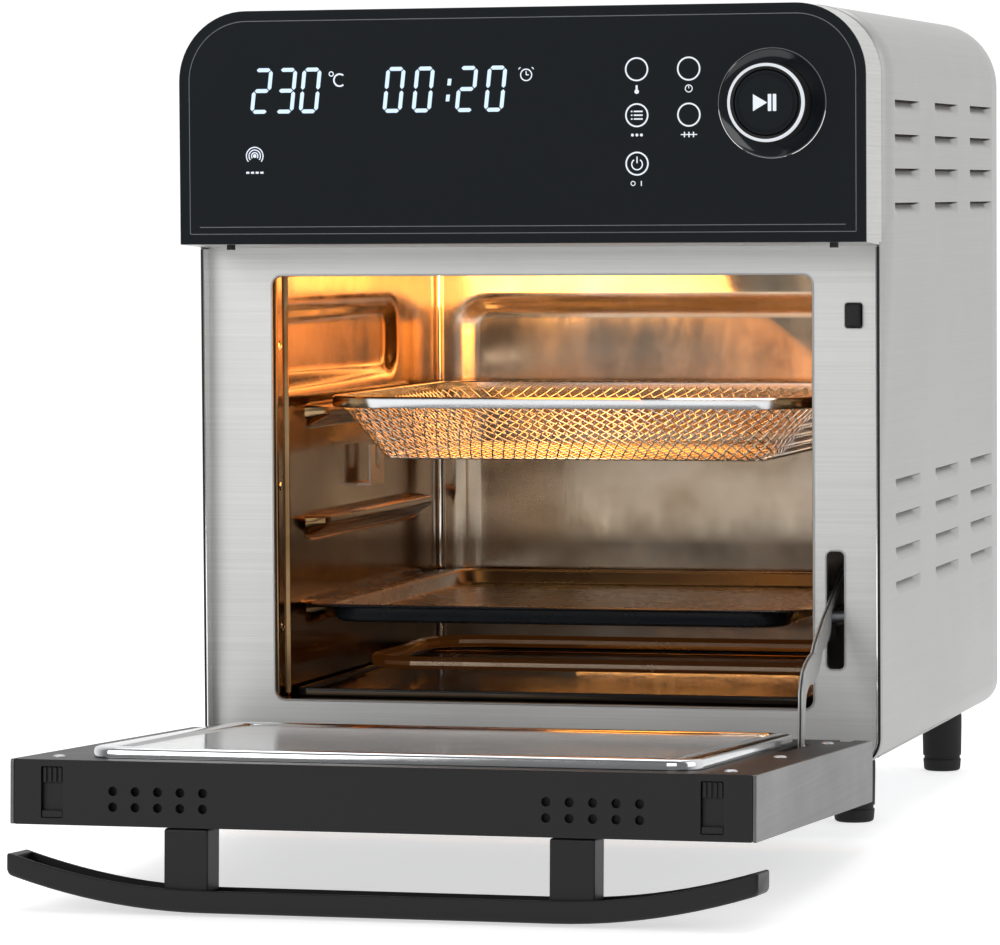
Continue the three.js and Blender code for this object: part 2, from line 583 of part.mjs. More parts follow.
// ---- door switch and bumpers ----
function doorSwitch() {
  const { x0, x1, z0, z1 } = SWITCH_HOLE;
  const body = cut(block(x0 - 2, x1 + 2, 2, 22, z0 - 3, z1 + 3),
    block(x0 + 0.3, x1 - 0.3, 0, 16, z0 + 0.3, z1 - 0.3));
  add("door_switch", body, blackPlastic);
  add("switch_plunger", block(x0 + 0.7, x1 - 0.7, -3.2, 11, z0 + 0.7, z1 - 0.7), blackPlastic);
  for (const [name, x] of [["bumper_left", -146], ["bumper_right", 153.2]])
    add(name, bar("z", 2.1, PANEL.bottom - 2.7, PANEL.bottom - FIT, x, BUMPER_Y, 16), rubber);
}

// ---- accessories ----
// A rounded rectangle drawn in from the rim of a pan by the given inset, or by its own inset at
// the left and right sides.
function ringPoints({ half, front, back, corner }, inset, side = inset, perCorner = 5) {
  const r = Math.max(corner - inset, 5);
  const x = half - side;
  const centres = [[x - r, back - inset - r], [-x + r, back - inset - r], [-x + r, front + inset + r],
    [x - r, front + inset + r]];
  const points = [];
  centres.forEach(([cx, cy], quarter) => {
    for (let i = 0; i <= perCorner; i++) {
      const angle = (quarter + i / perCorner) * Math.PI / 2;
      points.push([cx + r * Math.cos(angle), cy + r * Math.sin(angle)]);
    }
  });
  return points;
}

// A pan as one closed skin: [inset, height, side inset] levels run from the inner floor, over the
// rim, to the outer floor, and both ends are capped.
function pan(size, levels) {
  const rings = levels.map(([inset, z, side]) => ringPoints(size, inset, side).map(([x, y]) => [x, y, z]));
  const count = rings[0].length;
  const index = [];
  for (let k = 0; k + 1 < rings.length; k++)
    for (let i = 0; i < count; i++) {
      const j = (i + 1) % count;
      const [a, b, c, d] = [k * count + i, k * count + j, (k + 1) * count + i, (k + 1) * count + j];
      index.push(a, b, c, b, d, c);
    }
  const last = (rings.length - 1) * count;
  for (let i = 1; i + 1 < count; i++) {
    index.push(0, i + 1, i);
    index.push(last, last + i, last + i + 1);
  }
  const geometry = new THREE.BufferGeometry();
  geometry.setAttribute("position", new THREE.Float32BufferAttribute(rings.flat(2), 3));
  geometry.setIndex(index);
  return geometry;
}

function accessories() {
  const drawn = (points, path) => {
    points.forEach(([x, y], i) => (i ? path.lineTo(x, y) : path.moveTo(x, y)));
    return path;
  };
  const rim = shapeWith(drawn(ringPoints(BASKET, 0), new THREE.Shape()),
    drawn(ringPoints(BASKET, 5), new THREE.Path()));
  add("basket_rim", alongZ(rim, BASKET.rim - BASKET.band, BASKET.rim), polished);
  const hem = BASKET.rim - BASKET.band - FIT;
  const low = BASKET.rim - BASKET.depth;
  add("basket_mesh", pan(BASKET, [
    [BASKET.taper + 1, low + 1.2], [4.6, hem], [3.4, hem], [BASKET.taper, low],
  ]), polished);

  const { rim: top, depth, flange, lip, sheet } = TRAY;
  const slope = 6;
  add("baking_tray", pan(TRAY, [
    [lip + slope + 1, top - depth + sheet, flange + slope + 1], [lip + 1, top, flange + 1], [0, top],
    [0, top - sheet], [lip, top - sheet, flange], [lip + slope, top - depth, flange + slope],
  ]), enamel);
}

casing();
cavity();
heating();
rotisserie();
controls();
doorPieces();
stay();
doorSwitch();
accessories();

export default origin;
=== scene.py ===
"""Looks of a counter-top air-fryer oven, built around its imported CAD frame.

Shapes are drawn in bench millimetres: X across, Y back from the front face of the steel fascia,
Z up from the table. BENCH carries them into the row frame; DOOR does the same for pieces that
are drawn with the door shut and hang on its hinge.
"""
import json
from math import ceil, cos, hypot, pi, radians, sin
from types import SimpleNamespace as Named

import bmesh
import bpy
from mathutils import Matrix, Vector

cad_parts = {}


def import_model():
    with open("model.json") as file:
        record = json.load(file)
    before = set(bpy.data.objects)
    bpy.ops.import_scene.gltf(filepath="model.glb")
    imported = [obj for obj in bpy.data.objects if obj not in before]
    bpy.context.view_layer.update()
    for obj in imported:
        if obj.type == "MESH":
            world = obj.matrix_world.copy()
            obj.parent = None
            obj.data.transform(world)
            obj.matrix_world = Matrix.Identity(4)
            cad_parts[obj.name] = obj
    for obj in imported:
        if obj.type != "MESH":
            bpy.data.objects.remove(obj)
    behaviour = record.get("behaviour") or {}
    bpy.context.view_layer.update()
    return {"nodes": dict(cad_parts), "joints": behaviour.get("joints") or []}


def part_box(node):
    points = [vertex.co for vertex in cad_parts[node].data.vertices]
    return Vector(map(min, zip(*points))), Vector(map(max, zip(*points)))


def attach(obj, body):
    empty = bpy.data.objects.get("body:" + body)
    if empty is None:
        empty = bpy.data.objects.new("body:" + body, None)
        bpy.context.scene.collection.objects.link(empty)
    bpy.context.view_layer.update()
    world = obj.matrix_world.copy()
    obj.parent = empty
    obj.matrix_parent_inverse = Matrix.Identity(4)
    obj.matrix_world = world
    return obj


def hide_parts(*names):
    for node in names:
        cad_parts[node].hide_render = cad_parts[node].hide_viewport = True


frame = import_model()

# ---- places, all taken from the frame ----
MM = 0.001
FRONT_FACE, TABLE_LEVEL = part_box("front_fascia")[0].y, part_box("foot_front_left")[0].z
BENCH = Matrix.Translation((0, FRONT_FACE, TABLE_LEVEL)) @ Matrix.Scale(MM, 4)
hinge_joint = next(j for j in frame["joints"] if j["name"] == "door_hinge")
HINGE_POINT = Vector(hinge_joint["pos_m"])
HINGE_TURN = Matrix.Rotation(-radians(hinge_joint["range_deg"][0]), 4, "X")
DOOR = Matrix.Translation(HINGE_POINT) @ HINGE_TURN @ Matrix.Translation(-HINGE_POINT) @ BENCH


class Span:
    """A CAD node's box in the millimetres of a place matrix."""

    def __init__(self, node, place=BENCH):
        mesh = frame["nodes"][node].data
        points = [place.inverted() @ v.co for v in mesh.vertices]
        self.x0, self.y0, self.z0 = (min(p[i] for p in points) for i in range(3))
        self.x1, self.y1, self.z1 = (max(p[i] for p in points) for i in range(3))
        self.edges = (self.x0, self.x1, self.y0, self.y1, self.z0, self.z1)

    def face(self, radius):
        """The node's outline seen from the front, with rounded corners."""
        return rounded(self.x0, self.x1, self.z0, self.z1, radius)


# ---- node materials ----
def feed(node, **values):
    """Sets inputs of a shader node; the keywords are socket names with underscores for spaces."""
    for key, value in values.items():
        node.inputs[key.replace("_", " ")].default_value = value


def new_material(name, color, roughness, metallic=0.0, **sockets):
    material = bpy.data.materials.new(name)
    material.use_nodes = True
    feed(material.node_tree.nodes["Principled BSDF"], Base_Color=(*color, 1), Roughness=roughness,
         Metallic=metallic, **sockets)
    return material


def noise(material, stretch, detail=3.0, roughness=0.6):
    """A noise value on object coordinates; stretch gives the cycles per metre along X, Y and Z."""
    nodes, links = material.node_tree.nodes, material.node_tree.links
    place = nodes.new("ShaderNodeTexCoord")
    mapping = nodes.new("ShaderNodeMapping")
    feed(mapping, Scale=stretch)
    texture = nodes.new("ShaderNodeTexNoise")
    feed(texture, Scale=1.0, Detail=detail, Roughness=roughness)
    links.new(place.outputs["Object"], mapping.inputs["Vector"])
    links.new(mapping.outputs["Vector"], texture.inputs["Vector"])
    return texture.outputs["Fac"]


def vary(material, value, socket, low, high, spread=0.22):
    """Runs a shader socket from low to high with a noise value; colours are blended."""
    nodes, links = material.node_tree.nodes, material.node_tree.links
    shader = nodes["Principled BSDF"]
    reach = nodes.new("ShaderNodeMapRange")
    feed(reach, From_Min=0.5 - spread, From_Max=0.5 + spread)
    links.new(value, reach.inputs["Value"])
    if isinstance(low, tuple):
        blend = nodes.new("ShaderNodeMix")
        blend.data_type = "RGBA"
        blend.inputs[6].default_value = (*low, 1)
        blend.inputs[7].default_value = (*high, 1)
        links.new(reach.outputs["Result"], blend.inputs["Factor"])
        links.new(blend.outputs[2], shader.inputs[socket])
    else:
        feed(reach, To_Min=low, To_Max=high)
        links.new(reach.outputs["Result"], shader.inputs[socket])


def emboss(material, value, strength, distance):
    """Bump from a noise value, its distance in metres."""
    nodes, links = material.node_tree.nodes, material.node_tree.links
    bump = nodes.new("ShaderNodeBump")
    feed(bump, Strength=strength, Distance=distance)
    links.new(value, bump.inputs["Height"])
    links.new(bump.outputs["Normal"], nodes["Principled BSDF"].inputs["Normal"])


def brushed(name, dark, light, along, rough, bump=0.12):
    """Sheet steel with long fine scratches along one axis and a few broad smudges."""
    material = new_material(name, light, rough[0], 1.0)
    fine = tuple(5.0 if axis == along else 1100.0 for axis in "xyz")
    scratches = noise(material, fine, 4.0, 0.7)
    vary(material, scratches, "Base Color", dark, light)
    vary(material, noise(material, (9.0, 9.0, 9.0), 4.0, 0.65), "Roughness", *rough)
    emboss(material, scratches, bump, 0.00006)
    return material


def moulded(name, color, rough, cell, bump):
    """Fine-grained plastic or rubber; cell is the grain's size in millimetres."""
    material = new_material(name, color, rough[0], Specular_IOR_Level=0.3)
    grain = noise(material, (1000 / cell,) * 3, 2.0, 0.5)
    vary(material, noise(material, (14.0,) * 3), "Roughness", *rough)
    emboss(material, grain, bump, 0.00005)
    return material


def glossy(name, color, low, high, metallic=0.0, **sockets):
    """A smooth surface whose roughness drifts a little, as wiped glass or polished steel does."""
    material = new_material(name, color, low, metallic, **sockets)
    vary(material, noise(material, (22.0, 22.0, 22.0), 5.0, 0.65), "Roughness", low, high)
    return material


def painted_amber_steel(name, dark, light):
    """The cavity's polished sheet: its straw-to-brown base colour is painted warm light, laid in random
    patches, with wipe marks.
    """
    material = new_material(name, light, 0.15, 1.0)
    vary(material, noise(material, (7.0, 7.0, 11.0), 4.0, 0.6), "Base Color", dark, light)
    vary(material, noise(material, (30.0, 30.0, 12.0), 5.0, 0.65), "Roughness", 0.09, 0.24)
    emboss(material, noise(material, (240.0, 240.0, 40.0), 3.0, 0.6), 0.05, 0.0003)
    return material


def glow(name, color, strength):
    return new_material(name, (0.02, 0.02, 0.02), 0.4, Emission_Color=(*color, 1), Emission_Strength=strength)


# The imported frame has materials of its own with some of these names, so each is kept by the name given here.
MATERIALS = {
    "brushed_steel": brushed("brushed_steel", (0.57, 0.57, 0.565), (0.66, 0.66, 0.65), "x", (0.42, 0.54)),
    "brushed_side": brushed("brushed_side", (0.42, 0.42, 0.41), (0.56, 0.56, 0.55), "y", (0.32, 0.42)),
    "door_trim": brushed("door_trim", (0.11, 0.11, 0.11), (0.155, 0.155, 0.155), "y", (0.35, 0.45)),
    "fine_line": glossy("fine_line", (0.16, 0.17, 0.18), 0.4, 0.5),
    "satin_wrap": brushed("satin_wrap", (0.385, 0.385, 0.38), (0.415, 0.415, 0.41), "y", (0.44, 0.50), 0.02),
    "polished_steel": glossy("polished_steel", (0.62, 0.56, 0.48), 0.10, 0.22, 1.0),
    # The amber-brown of the cavity walls and the warm beige of its back are painted warm light from the
    # glowing oven, not the steel's own colour.
    "painted_amber_steel": painted_amber_steel("painted_amber_steel", (0.14, 0.07, 0.022), (0.42, 0.285, 0.15)),
    "painted_warm_back": painted_amber_steel("painted_warm_back", (0.38, 0.27, 0.16), (0.80, 0.69, 0.56)),
    "chrome": glossy("chrome", (0.86, 0.86, 0.86), 0.05, 0.10, 1.0),
    "bezel_steel": glossy("bezel_steel", (0.64, 0.65, 0.66), 0.08, 0.15, 1.0),
    "galvanised": glossy("galvanised", (0.52, 0.53, 0.55), 0.38, 0.58, 1.0),
    "black_plastic": moulded("black_plastic", (0.006, 0.006, 0.0064), (0.42, 0.5), 0.5, 0.25),
    "black_glass": glossy("black_glass", (0.007, 0.0095, 0.012), 0.05, 0.09),
    "clear_glass": glossy("clear_glass", (0.93, 0.96, 0.97), 0.10, 0.16,
                          Transmission_Weight=0.70, IOR=1.5),
    "black_enamel": glossy("black_enamel", (0.008, 0.010, 0.013), 0.22, 0.34),
    "rubber": moulded("rubber", (0.012, 0.012, 0.012), (0.66, 0.8), 0.35, 0.4),
    "circuit_board": moulded("circuit_board", (0.02, 0.11, 0.04), (0.35, 0.5), 1.2, 0.3),
    "heater_steel": glossy("heater_steel", (0.54, 0.44, 0.33), 0.18, 0.30, 1.0,
                           Emission_Color=(1.0, 0.30, 0.05, 1), Emission_Strength=0.03),
    "wire_steel": glossy("wire_steel", (0.82, 0.82, 0.80), 0.16, 0.26, 1.0),
    "band_steel": glossy("band_steel", (0.66, 0.67, 0.68), 0.14, 0.22, 1.0),
    "pan_enamel": glossy("pan_enamel", (0.008, 0.008, 0.009), 0.10, 0.16),
}
WHITE_PRINT = glow("white_print", (0.86, 0.92, 1.0), 0.95)
DIGIT_GLOW = glow("digit_glow", (0.64, 0.81, 1.0), 1.15)
RING_GLOW = glow("ring_glow", (0.9, 0.95, 1.0), 0.8)

SLOT_OF = {
    "galvanised": "base_plate back_panel fan_shroud fan_wheel fan_motor hinge_bracket_left "
                  "hinge_bracket_right stay_guide",
    "polished_steel": "air_guard cavity_liner cavity_back",
    "brushed_steel": "motor_shaft spit_socket spit_bracket stay_pin hinge_pin_left hinge_pin_right",
    "heater_steel": "bottom_heater top_heater",
    "black_plastic": "cord_gland spit_motor control_carrier display_module dial_encoder door_switch",
    "circuit_board": "key_board power_board",
    "rubber": "bumper_left bumper_right",
    "black_enamel": "crumb_tray",
}
for slot_name, nodes in SLOT_OF.items():
    for node in nodes.split():
        data = frame["nodes"][node].data
        data.materials.clear()
        data.materials.append(MATERIALS[slot_name])


# ---- outlines ----
def arc(cx, cy, radius, start, end, steps):
    return [(cx + radius * cos(radians(start + (end - start) * i / steps)),
             cy + radius * sin(radians(start + (end - start) * i / steps))) for i in range(steps + 1)]


def circle(cx, cy, radius, steps=32):
    return arc(cx, cy, radius, 0, 360, steps)[:-1]


def rounded(x0, x1, y0, y1, low, high=None, steps=8):
    """A rectangle, counter-clockwise, with its own radius at the lower and upper corners."""
    high = low if high is None else high
    points = []
    corners = ((x0, y0, low, 180), (x1, y0, low, 270), (x1, y1, high, 0), (x0, y1, high, 90))
    for x, y, r, start in corners:
        if r <= 0:
            points.append((x, y))
            continue
        cx = x + r if x == x0 else x - r
        cy = y + r if y == y0 else y - r
        points += arc(cx, cy, r, start, start + 90, steps)
    return points


def smooth(t):
    t = min(1.0, max(0.0, t))
    return t * t * (3 - 2 * t)


# ---- geometry ----
LIFT = {
    "x": lambda u, v, w: (w, u, v),
    "y": lambda u, v, w: (u, w, v),
    "z": lambda u, v, w: (u, v, w),
}


def put(name, data):
    obj = bpy.data.objects.new(name, data)
    bpy.context.scene.collection.objects.link(obj)
    return obj


def running(points):
    """How far each point of a line is from its first, along the line."""
    marks = [0.0]
    for a, b in zip(points, points[1:]):
        marks.append(marks[-1] + hypot(b[0] - a[0], b[1] - a[1]))
    return marks


class Form:
    """Closed shapes in millimetres, collected and then made into one Blender object."""

    def __init__(self):
        self.bm = bmesh.new()

    def plate(self, axis, near, far, outline, *holes):
        """A flat shape with holes, from near to far along an axis."""
        rings, before = [], set(self.bm.faces)
        for loop in (outline, *holes):
            verts = [self.bm.verts.new(LIFT[axis](u, v, near)) for u, v in loop]
            rings += [self.bm.edges.new((a, b)) for a, b in zip(verts, verts[1:] + verts[:1])]
        bmesh.ops.triangle_fill(self.bm, use_beauty=True, edges=rings)
        faces = [f for f in self.bm.faces if f not in before]
        grown = bmesh.ops.extrude_face_region(self.bm, geom=faces)["geom"]
        moved = [v for v in grown if isinstance(v, bmesh.types.BMVert)]
        bmesh.ops.translate(self.bm, verts=moved, vec=LIFT[axis](0, 0, far - near))
        return self

    def block(self, x0, x1, y0, y1, z0, z1):
        return self.plate("z", z0, z1, [(x0, y0), (x1, y0), (x1, y1), (x0, y1)])

    def loft(self, rings, ends=True):
        """Skins rings of points. ends caps both ends; without it the last ring joins the first."""
        made = [[self.bm.verts.new(p) for p in ring] for ring in rings]
        count = len(made[0])
        pairs = list(zip(made, made[1:])) + ([] if ends else [(made[-1], made[0])])
        for low, high in pairs:
            for i in range(count):
                j = (i + 1) % count
                self.bm.faces.new((low[i], low[j], high[j], high[i]))
        if ends:
            self.bm.faces.new(made[0][::-1])
            self.bm.faces.new(made[-1])
        return self

    def turned(self, profile, centre, axis="z", sides=64, sign=1):
        """A lathed shape: profile points are (radius, height) and the height runs along the axis."""
        rings = []
        for radius, height in profile:
            ring = []
            for i in range(sides):
                u, v = radius * cos(2 * pi * i / sides), radius * sin(2 * pi * i / sides)
                x, y, z = LIFT[axis](u, v, sign * height)
                ring.append((centre[0] + x, centre[1] + y, centre[2] + z))
            rings.append(ring)
        return self.loft(rings, ends=profile[0] != profile[-1])

    def tube(self, points, radius, sides=10, closed=False):
        """A round bar along a line of points."""
        line = [Vector(p) for p in points]
        count = len(line)
        ways = []
        for i in range(count):
            after = line[(i + 1) % count] if closed or i + 1 < count else line[i]
            before = line[i - 1] if closed or i else line[i]
            ways.append((after - before).normalized())
        side = ways[0].orthogonal().normalized()
        rings = []
        for point, way in zip(line, ways):
            side = (side - way * side.dot(way)).normalized()
            up = way.cross(side)
            rings.append([point + radius * (side * cos(2 * pi * k / sides) + up * sin(2 * pi * k / sides))
                          for k in range(sides)])
        return self.loft(rings, ends=not closed)

    def ribbon(self, axis, path, section, closed=True):
        """Carries a section of (inward, along-axis) points round a flat counter-clockwise path."""
        count = len(path)
        rings = []
        for i, (u, v) in enumerate(path):
            a = path[i - 1] if closed or i else path[i]
            b = path[(i + 1) % count] if closed or i + 1 < count else path[i]
            ends = [Vector((u - a[0], v - a[1])), Vector((b[0] - u, b[1] - v))]
            ways = [e.normalized() for e in ends if e.length > 1e-6]
            way = sum(ways, Vector((0, 0))).normalized()
            grow = 1 / max(0.5, way.dot(ways[0]))
            rings.append([LIFT[axis](u - way.y * s * grow, v + way.x * s * grow, w) for s, w in section])
        return self.loft(rings, ends=not closed)

    def screw(self, axis, u, v, w, radius=2.6, sign=-1):
        """A pan-head screw with a shallow round recess in its head, standing on the plane w."""
        head = [(0, 0), (radius, 0), (radius, 0.5), (radius * 0.8, 1.1), (radius * 0.34, 1.3), (0, 0.6)]
        return self.turned([(r + 0.001, h) for r, h in head], LIFT[axis](u, v, w), axis, 20, sign)

    def piece(self, name, material, body, slot, stands_for=(), bevel=0.0, segments=3, solid=0.0,
              crease=35, tidy=True):
        """Makes the object: bevel and solid are millimetres, crease the angle of its sharp edges."""
        if tidy:
            bmesh.ops.remove_doubles(self.bm, verts=self.bm.verts, dist=0.0005)
            bmesh.ops.recalc_face_normals(self.bm, faces=self.bm.faces)
        mesh = bpy.data.meshes.new(name)
        self.bm.to_mesh(mesh)
        self.bm.free()
        mesh.transform(DOOR if body == "door" else BENCH)
        mesh.materials.append(MATERIALS[material] if isinstance(material, str) else material)
        mesh.shade_smooth()
        obj = put(name, mesh)
        if solid:
            thick = obj.modifiers.new("sheet", "SOLIDIFY")
            thick.thickness = solid * MM
        if bevel:
            edges = obj.modifiers.new("edges", "BEVEL")
            edges.width = bevel * MM
            edges.segments = segments
            edges.limit_method = "ANGLE"
            edges.angle_limit = radians(crease)
            edges.harden_normals = True
        else:
            mesh.set_sharp_from_angle(angle=radians(crease))
        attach(obj, body)
        if stands_for:
            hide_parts(*stands_for)
        return obj


# ---- casing ----
WRAP = Span("outer_wrap")
HALF = WRAP.x1
TOP_RADIUS, BOTTOM_RADIUS, SHEET = 34, 14, 1.2
PANEL = Span("control_bezel")
LOUVRE = Named(width=66, height=6.5, depth=4, ramp=10, pitch=16.6, rows=4)
GUARD = 0.4                      # a narrow row of faces that keeps the sheet around a louvre flat
FRONT_RING = -0.6                # the sheet in front of this stops under the control panel
LOUVRE_COLUMNS = (32, 138, 238)
LOUVRE_TOPS = (353.4, 169.7)
HEM = Named(angle=45, start=6, end=198, radius=0.6)     # a folded seam low on each side


def louvre_tops():
    return [top - row * LOUVRE.pitch for top in LOUVRE_TOPS for row in range(LOUVRE.rows)]


def pressed_in(y, z, cell_y, cell_z):
    """How far the side sheet is pushed in at a corner (y, z) of the cell around (cell_y, cell_z)."""
    for top in louvre_tops():
        if not top - LOUVRE.height < cell_z < top:
            continue
        for y0 in LOUVRE_COLUMNS:
            if y0 < cell_y < y0 + LOUVRE.width:
                end = min(y - y0, y0 + LOUVRE.width - y)
                return LOUVRE.depth * smooth(end / LOUVRE.ramp) * smooth(
                    1 - (top - z) / LOUVRE.height)
    return 0.0


def wrap_sheet():
    low, high = WRAP.z0 + BOTTOM_RADIUS, WRAP.z1 - TOP_RADIUS
    notch = PANEL.z0 - 0.3
    stations = {low, high, notch}
    for top in louvre_tops():
        stations |= {top - LOUVRE.height * k / 5 for k in range(6)}
        stations |= {top + GUARD, top - LOUVRE.height - GUARD}
    rise = [(HALF, z) for z in sorted(stations)]
    section = arc(HALF - BOTTOM_RADIUS, low, BOTTOM_RADIUS, -90, 0, 8)[:-1] + rise
    section += arc(HALF - TOP_RADIUS, high, TOP_RADIUS, 0, 90, 14)[1:]
    section += [(-x, z) for x, z in reversed(section)]
    lengths = {WRAP.y0, FRONT_RING, WRAP.y1}
    for y0 in LOUVRE_COLUMNS:
        lengths |= {y0 + LOUVRE.width * k / 26 for k in range(27)}
        lengths |= {y0 - GUARD, y0 + LOUVRE.width + GUARD}
    lengths = sorted(lengths)
    form = Form()
    for (xa, za), (xb, zb) in zip(section, section[1:]):
        for ya, yb in zip(lengths, lengths[1:]):
            middle_y, middle_z = (ya + yb) / 2, (za + zb) / 2
            if middle_y < FRONT_RING and middle_z > notch:
                continue
            flat = abs(xa) == HALF and xa == xb
            corners = []
            for x, y, z in ((xa, ya, za), (xa, yb, za), (xb, yb, zb), (xb, ya, zb)):
                push = pressed_in(y, z, middle_y, middle_z) if flat else 0
                corners.append(form.bm.verts.new((x - push if x > 0 else x + push, y, z)))
            form.bm.faces.new(corners)
    bmesh.ops.remove_doubles(form.bm, verts=form.bm.verts, dist=0.001)
    form.piece("wrap_sheet", "satin_wrap", "oven_body", "satin_wrap", ["outer_wrap"],
               solid=SHEET, tidy=False, crease=40)

    hem = Form()
    for side in (-1, 1):
        x = side * (HALF - BOTTOM_RADIUS + BOTTOM_RADIUS * cos(radians(HEM.angle)))
        z = low - BOTTOM_RADIUS * sin(radians(HEM.angle))
        hem.tube([(x, HEM.start, z), (x, HEM.end, z)], HEM.radius, 8)
    hem.piece("wrap_hem", "satin_wrap", "oven_body", "satin_wrap")

    path = arc(-HALF + BOTTOM_RADIUS, low, BOTTOM_RADIUS, 180, 270, 10)
    path += [(-x, z) for x, z in reversed(path)]
    path = [(-HALF, PANEL.z0 - 2.6), *path, (HALF, PANEL.z0 - 2.6)]
    front = WRAP.y0
    # A black strip along the wrap's front edge is painted shade and dark reflection at the sheet's fold.
    Form().ribbon("y", path, [(0.1, front - 0.8), (1.2, front - 0.8), (1.2, front + 4), (0.1, front + 4)],
                  closed=False).piece("wrap_edge_painted_shade", "black_plastic", "oven_body", "black_plastic",
                                      bevel=0.15)
    # A chrome strip just inside it is a painted highlight along the fold of the satin sheet.
    Form().ribbon("y", path, [(1.3, front - 0.9), (1.9, front - 0.9), (1.9, -0.1), (1.3, -0.1)],
                  closed=False).piece("wrap_edge_painted_highlight", "chrome", "oven_body", "brushed_steel", bevel=0.12)


OPENING = Named(half=135.8, bottom=60.2, top=269.5, radius=5)
STAY_SLOT = (142, 151.2, 79.5, 136.9)
SWITCH_HOLE = (151.5, 160.3, 243.7, 256)


def fascia():
    span = Span("front_fascia")
    mouth = rounded(-OPENING.half, OPENING.half, OPENING.bottom, OPENING.top, OPENING.radius)
    slot = rounded(*STAY_SLOT, 3)
    switch = rounded(*SWITCH_HOLE, 1.5)
    outline = rounded(span.x0, span.x1, span.z0, span.z1, BOTTOM_RADIUS + 1, 0)
    Form().plate("y", 0, SHEET, outline, mouth[::-1], slot[::-1], switch[::-1]).piece(
        "fascia_sheet", "brushed_steel", "oven_body", "brushed_steel", ["front_fascia"])
    lips = Form()
    lips.ribbon("y", mouth, [(-0.7, -0.4), (0.1, -0.5), (0.25, 0), (0.25, 3), (-0.1, 3), (-0.1, 0)])
    lips.ribbon("y", slot, [(-0.5, -0.5), (0.3, -0.5), (0.4, 2.5), (-0.5, 0)])
    lips.ribbon("y", switch, [(-0.3, -0.3), (0.2, -0.3), (0.3, 2), (-0.3, 0)])
    lips.piece("fascia_lips", "satin_wrap", "oven_body", "brushed_steel", bevel=0.15)


VENT = Named(width=12, pitch=22, radius=3)
UPPER_VENTS = Named(first=-94, columns=9, bottoms=(318, 346), height=20)
LOWER_VENTS = Named(first=-70, columns=7, bottoms=(78,), height=40)
CORD_HOLE = (118, 68, 8.2)
REAR_SCREWS = ((-158, 60), (158, 60), (-158, 210), (158, 210), (-158, 350), (158, 350), (-60, 388), (60, 388))


def rear():
    span = Span("back_panel")
    holes = []
    for block in (UPPER_VENTS, LOWER_VENTS):
        for column in range(block.columns):
            x = block.first + column * VENT.pitch
            for z in block.bottoms:
                holes.append(rounded(x, x + VENT.width, z, z + block.height, VENT.radius)[::-1])
    holes.append(circle(*CORD_HOLE)[::-1])
    outline = rounded(span.x0, span.x1, span.z0, span.z1, BOTTOM_RADIUS - 1.5, TOP_RADIUS - 1.5)
    Form().plate("y", span.y0, span.y1, outline, *holes).piece(
        "rear_sheet", "galvanised", "oven_body", "galvanised", ["back_panel"], bevel=0.3)
    screws = Form()
    for x, z in REAR_SCREWS:
        screws.screw("y", x, z, span.y1, sign=1)
    screws.piece("rear_screws", "galvanised", "oven_body", "galvanised")


def feet():
    for node in ("foot_front_left", "foot_front_right", "foot_rear_left", "foot_rear_right"):
        span = Span(node)
        r, top = (span.x1 - span.x0) / 2, span.z1
        profile = [(0.01, 0), (r - 2.2, 0), (r - 1.2, 0.5), (r - 0.8, 1.4), (r - 0.4, 6), (r - 1, 6.6),
                   (r - 1, 7.8), (r - 0.3, 8.4), (r, 24), (r, top - 4), (r - 0.6, top), (0.01, top)]
        Form().turned(profile, ((span.x0 + span.x1) / 2, (span.y0 + span.y1) / 2, 0), sides=48).piece(
            node.replace("foot", "round_foot"), "rubber", "oven_body", "rubber", [node])


# ---- cooking cavity ----
LINER = (133.5, 60.4, 271, 289, 1.5)     # half width, floor, ceiling, back, front
RAIL_TOPS = (202.4, 147, 104.4)
RAIL = Named(reach=9.6, height=10, start=42, end=254)
FOLD = 17                        # the flat return of the side walls ends here
SIDE_PANEL = (-40, 212, 212, 255)
REAR_PANEL = (-121, 121, 84, 254)
PRESSED = Named(ramp=9, depth=5, radius=16)
FAN_HOLE = (0, 146, 88)


def panel_depth(u, v, box):
    """Depth of a pressed panel with sloped edges and rounded corners at a point (u, v)."""
    u0, u1, v0, v1 = box
    radius = PRESSED.radius
    du = max(u0 + radius - u, u - u1 + radius, 0)
    dv = max(v0 + radius - v, v - v1 + radius, 0)
    edge = radius - hypot(du, dv)
    if du == 0 or dv == 0:
        edge = min(u - u0, u1 - u, v - v0, v1 - v)
    return PRESSED.depth * smooth(edge / PRESSED.ramp)


def wall_relief(y, z):
    """Inward push of a side wall: three rails, a pressed panel at the top and the front return."""
    push = -panel_depth(y, z, SIDE_PANEL)
    for top in RAIL_TOPS:
        ends = smooth((y - RAIL.start) / 10) * smooth((RAIL.end - y) / 10)
        under = smooth((z - top + RAIL.height) / (RAIL.height - 2))
        over = smooth((top + 1.2 - z) / 1.2)
        push += RAIL.reach * ends * under * over
    return push if y > FOLD else -1.6 * smooth((FOLD - y) / 1.5)


def stations(low, high, step, extra=()):
    count = max(1, ceil((high - low) / step))
    values = {round(low + (high - low) * i / count, 3) for i in range(count + 1)}
    return sorted(values | {e for e in extra if low < e < high})


def sheet_grid(form, us, vs, point):
    verts = [[form.bm.verts.new(point(u, v)) for v in vs] for u in us]
    for a, b in zip(verts, verts[1:]):
        for i in range(len(vs) - 1):
            form.bm.faces.new((a[i], a[i + 1], b[i + 1], b[i]))


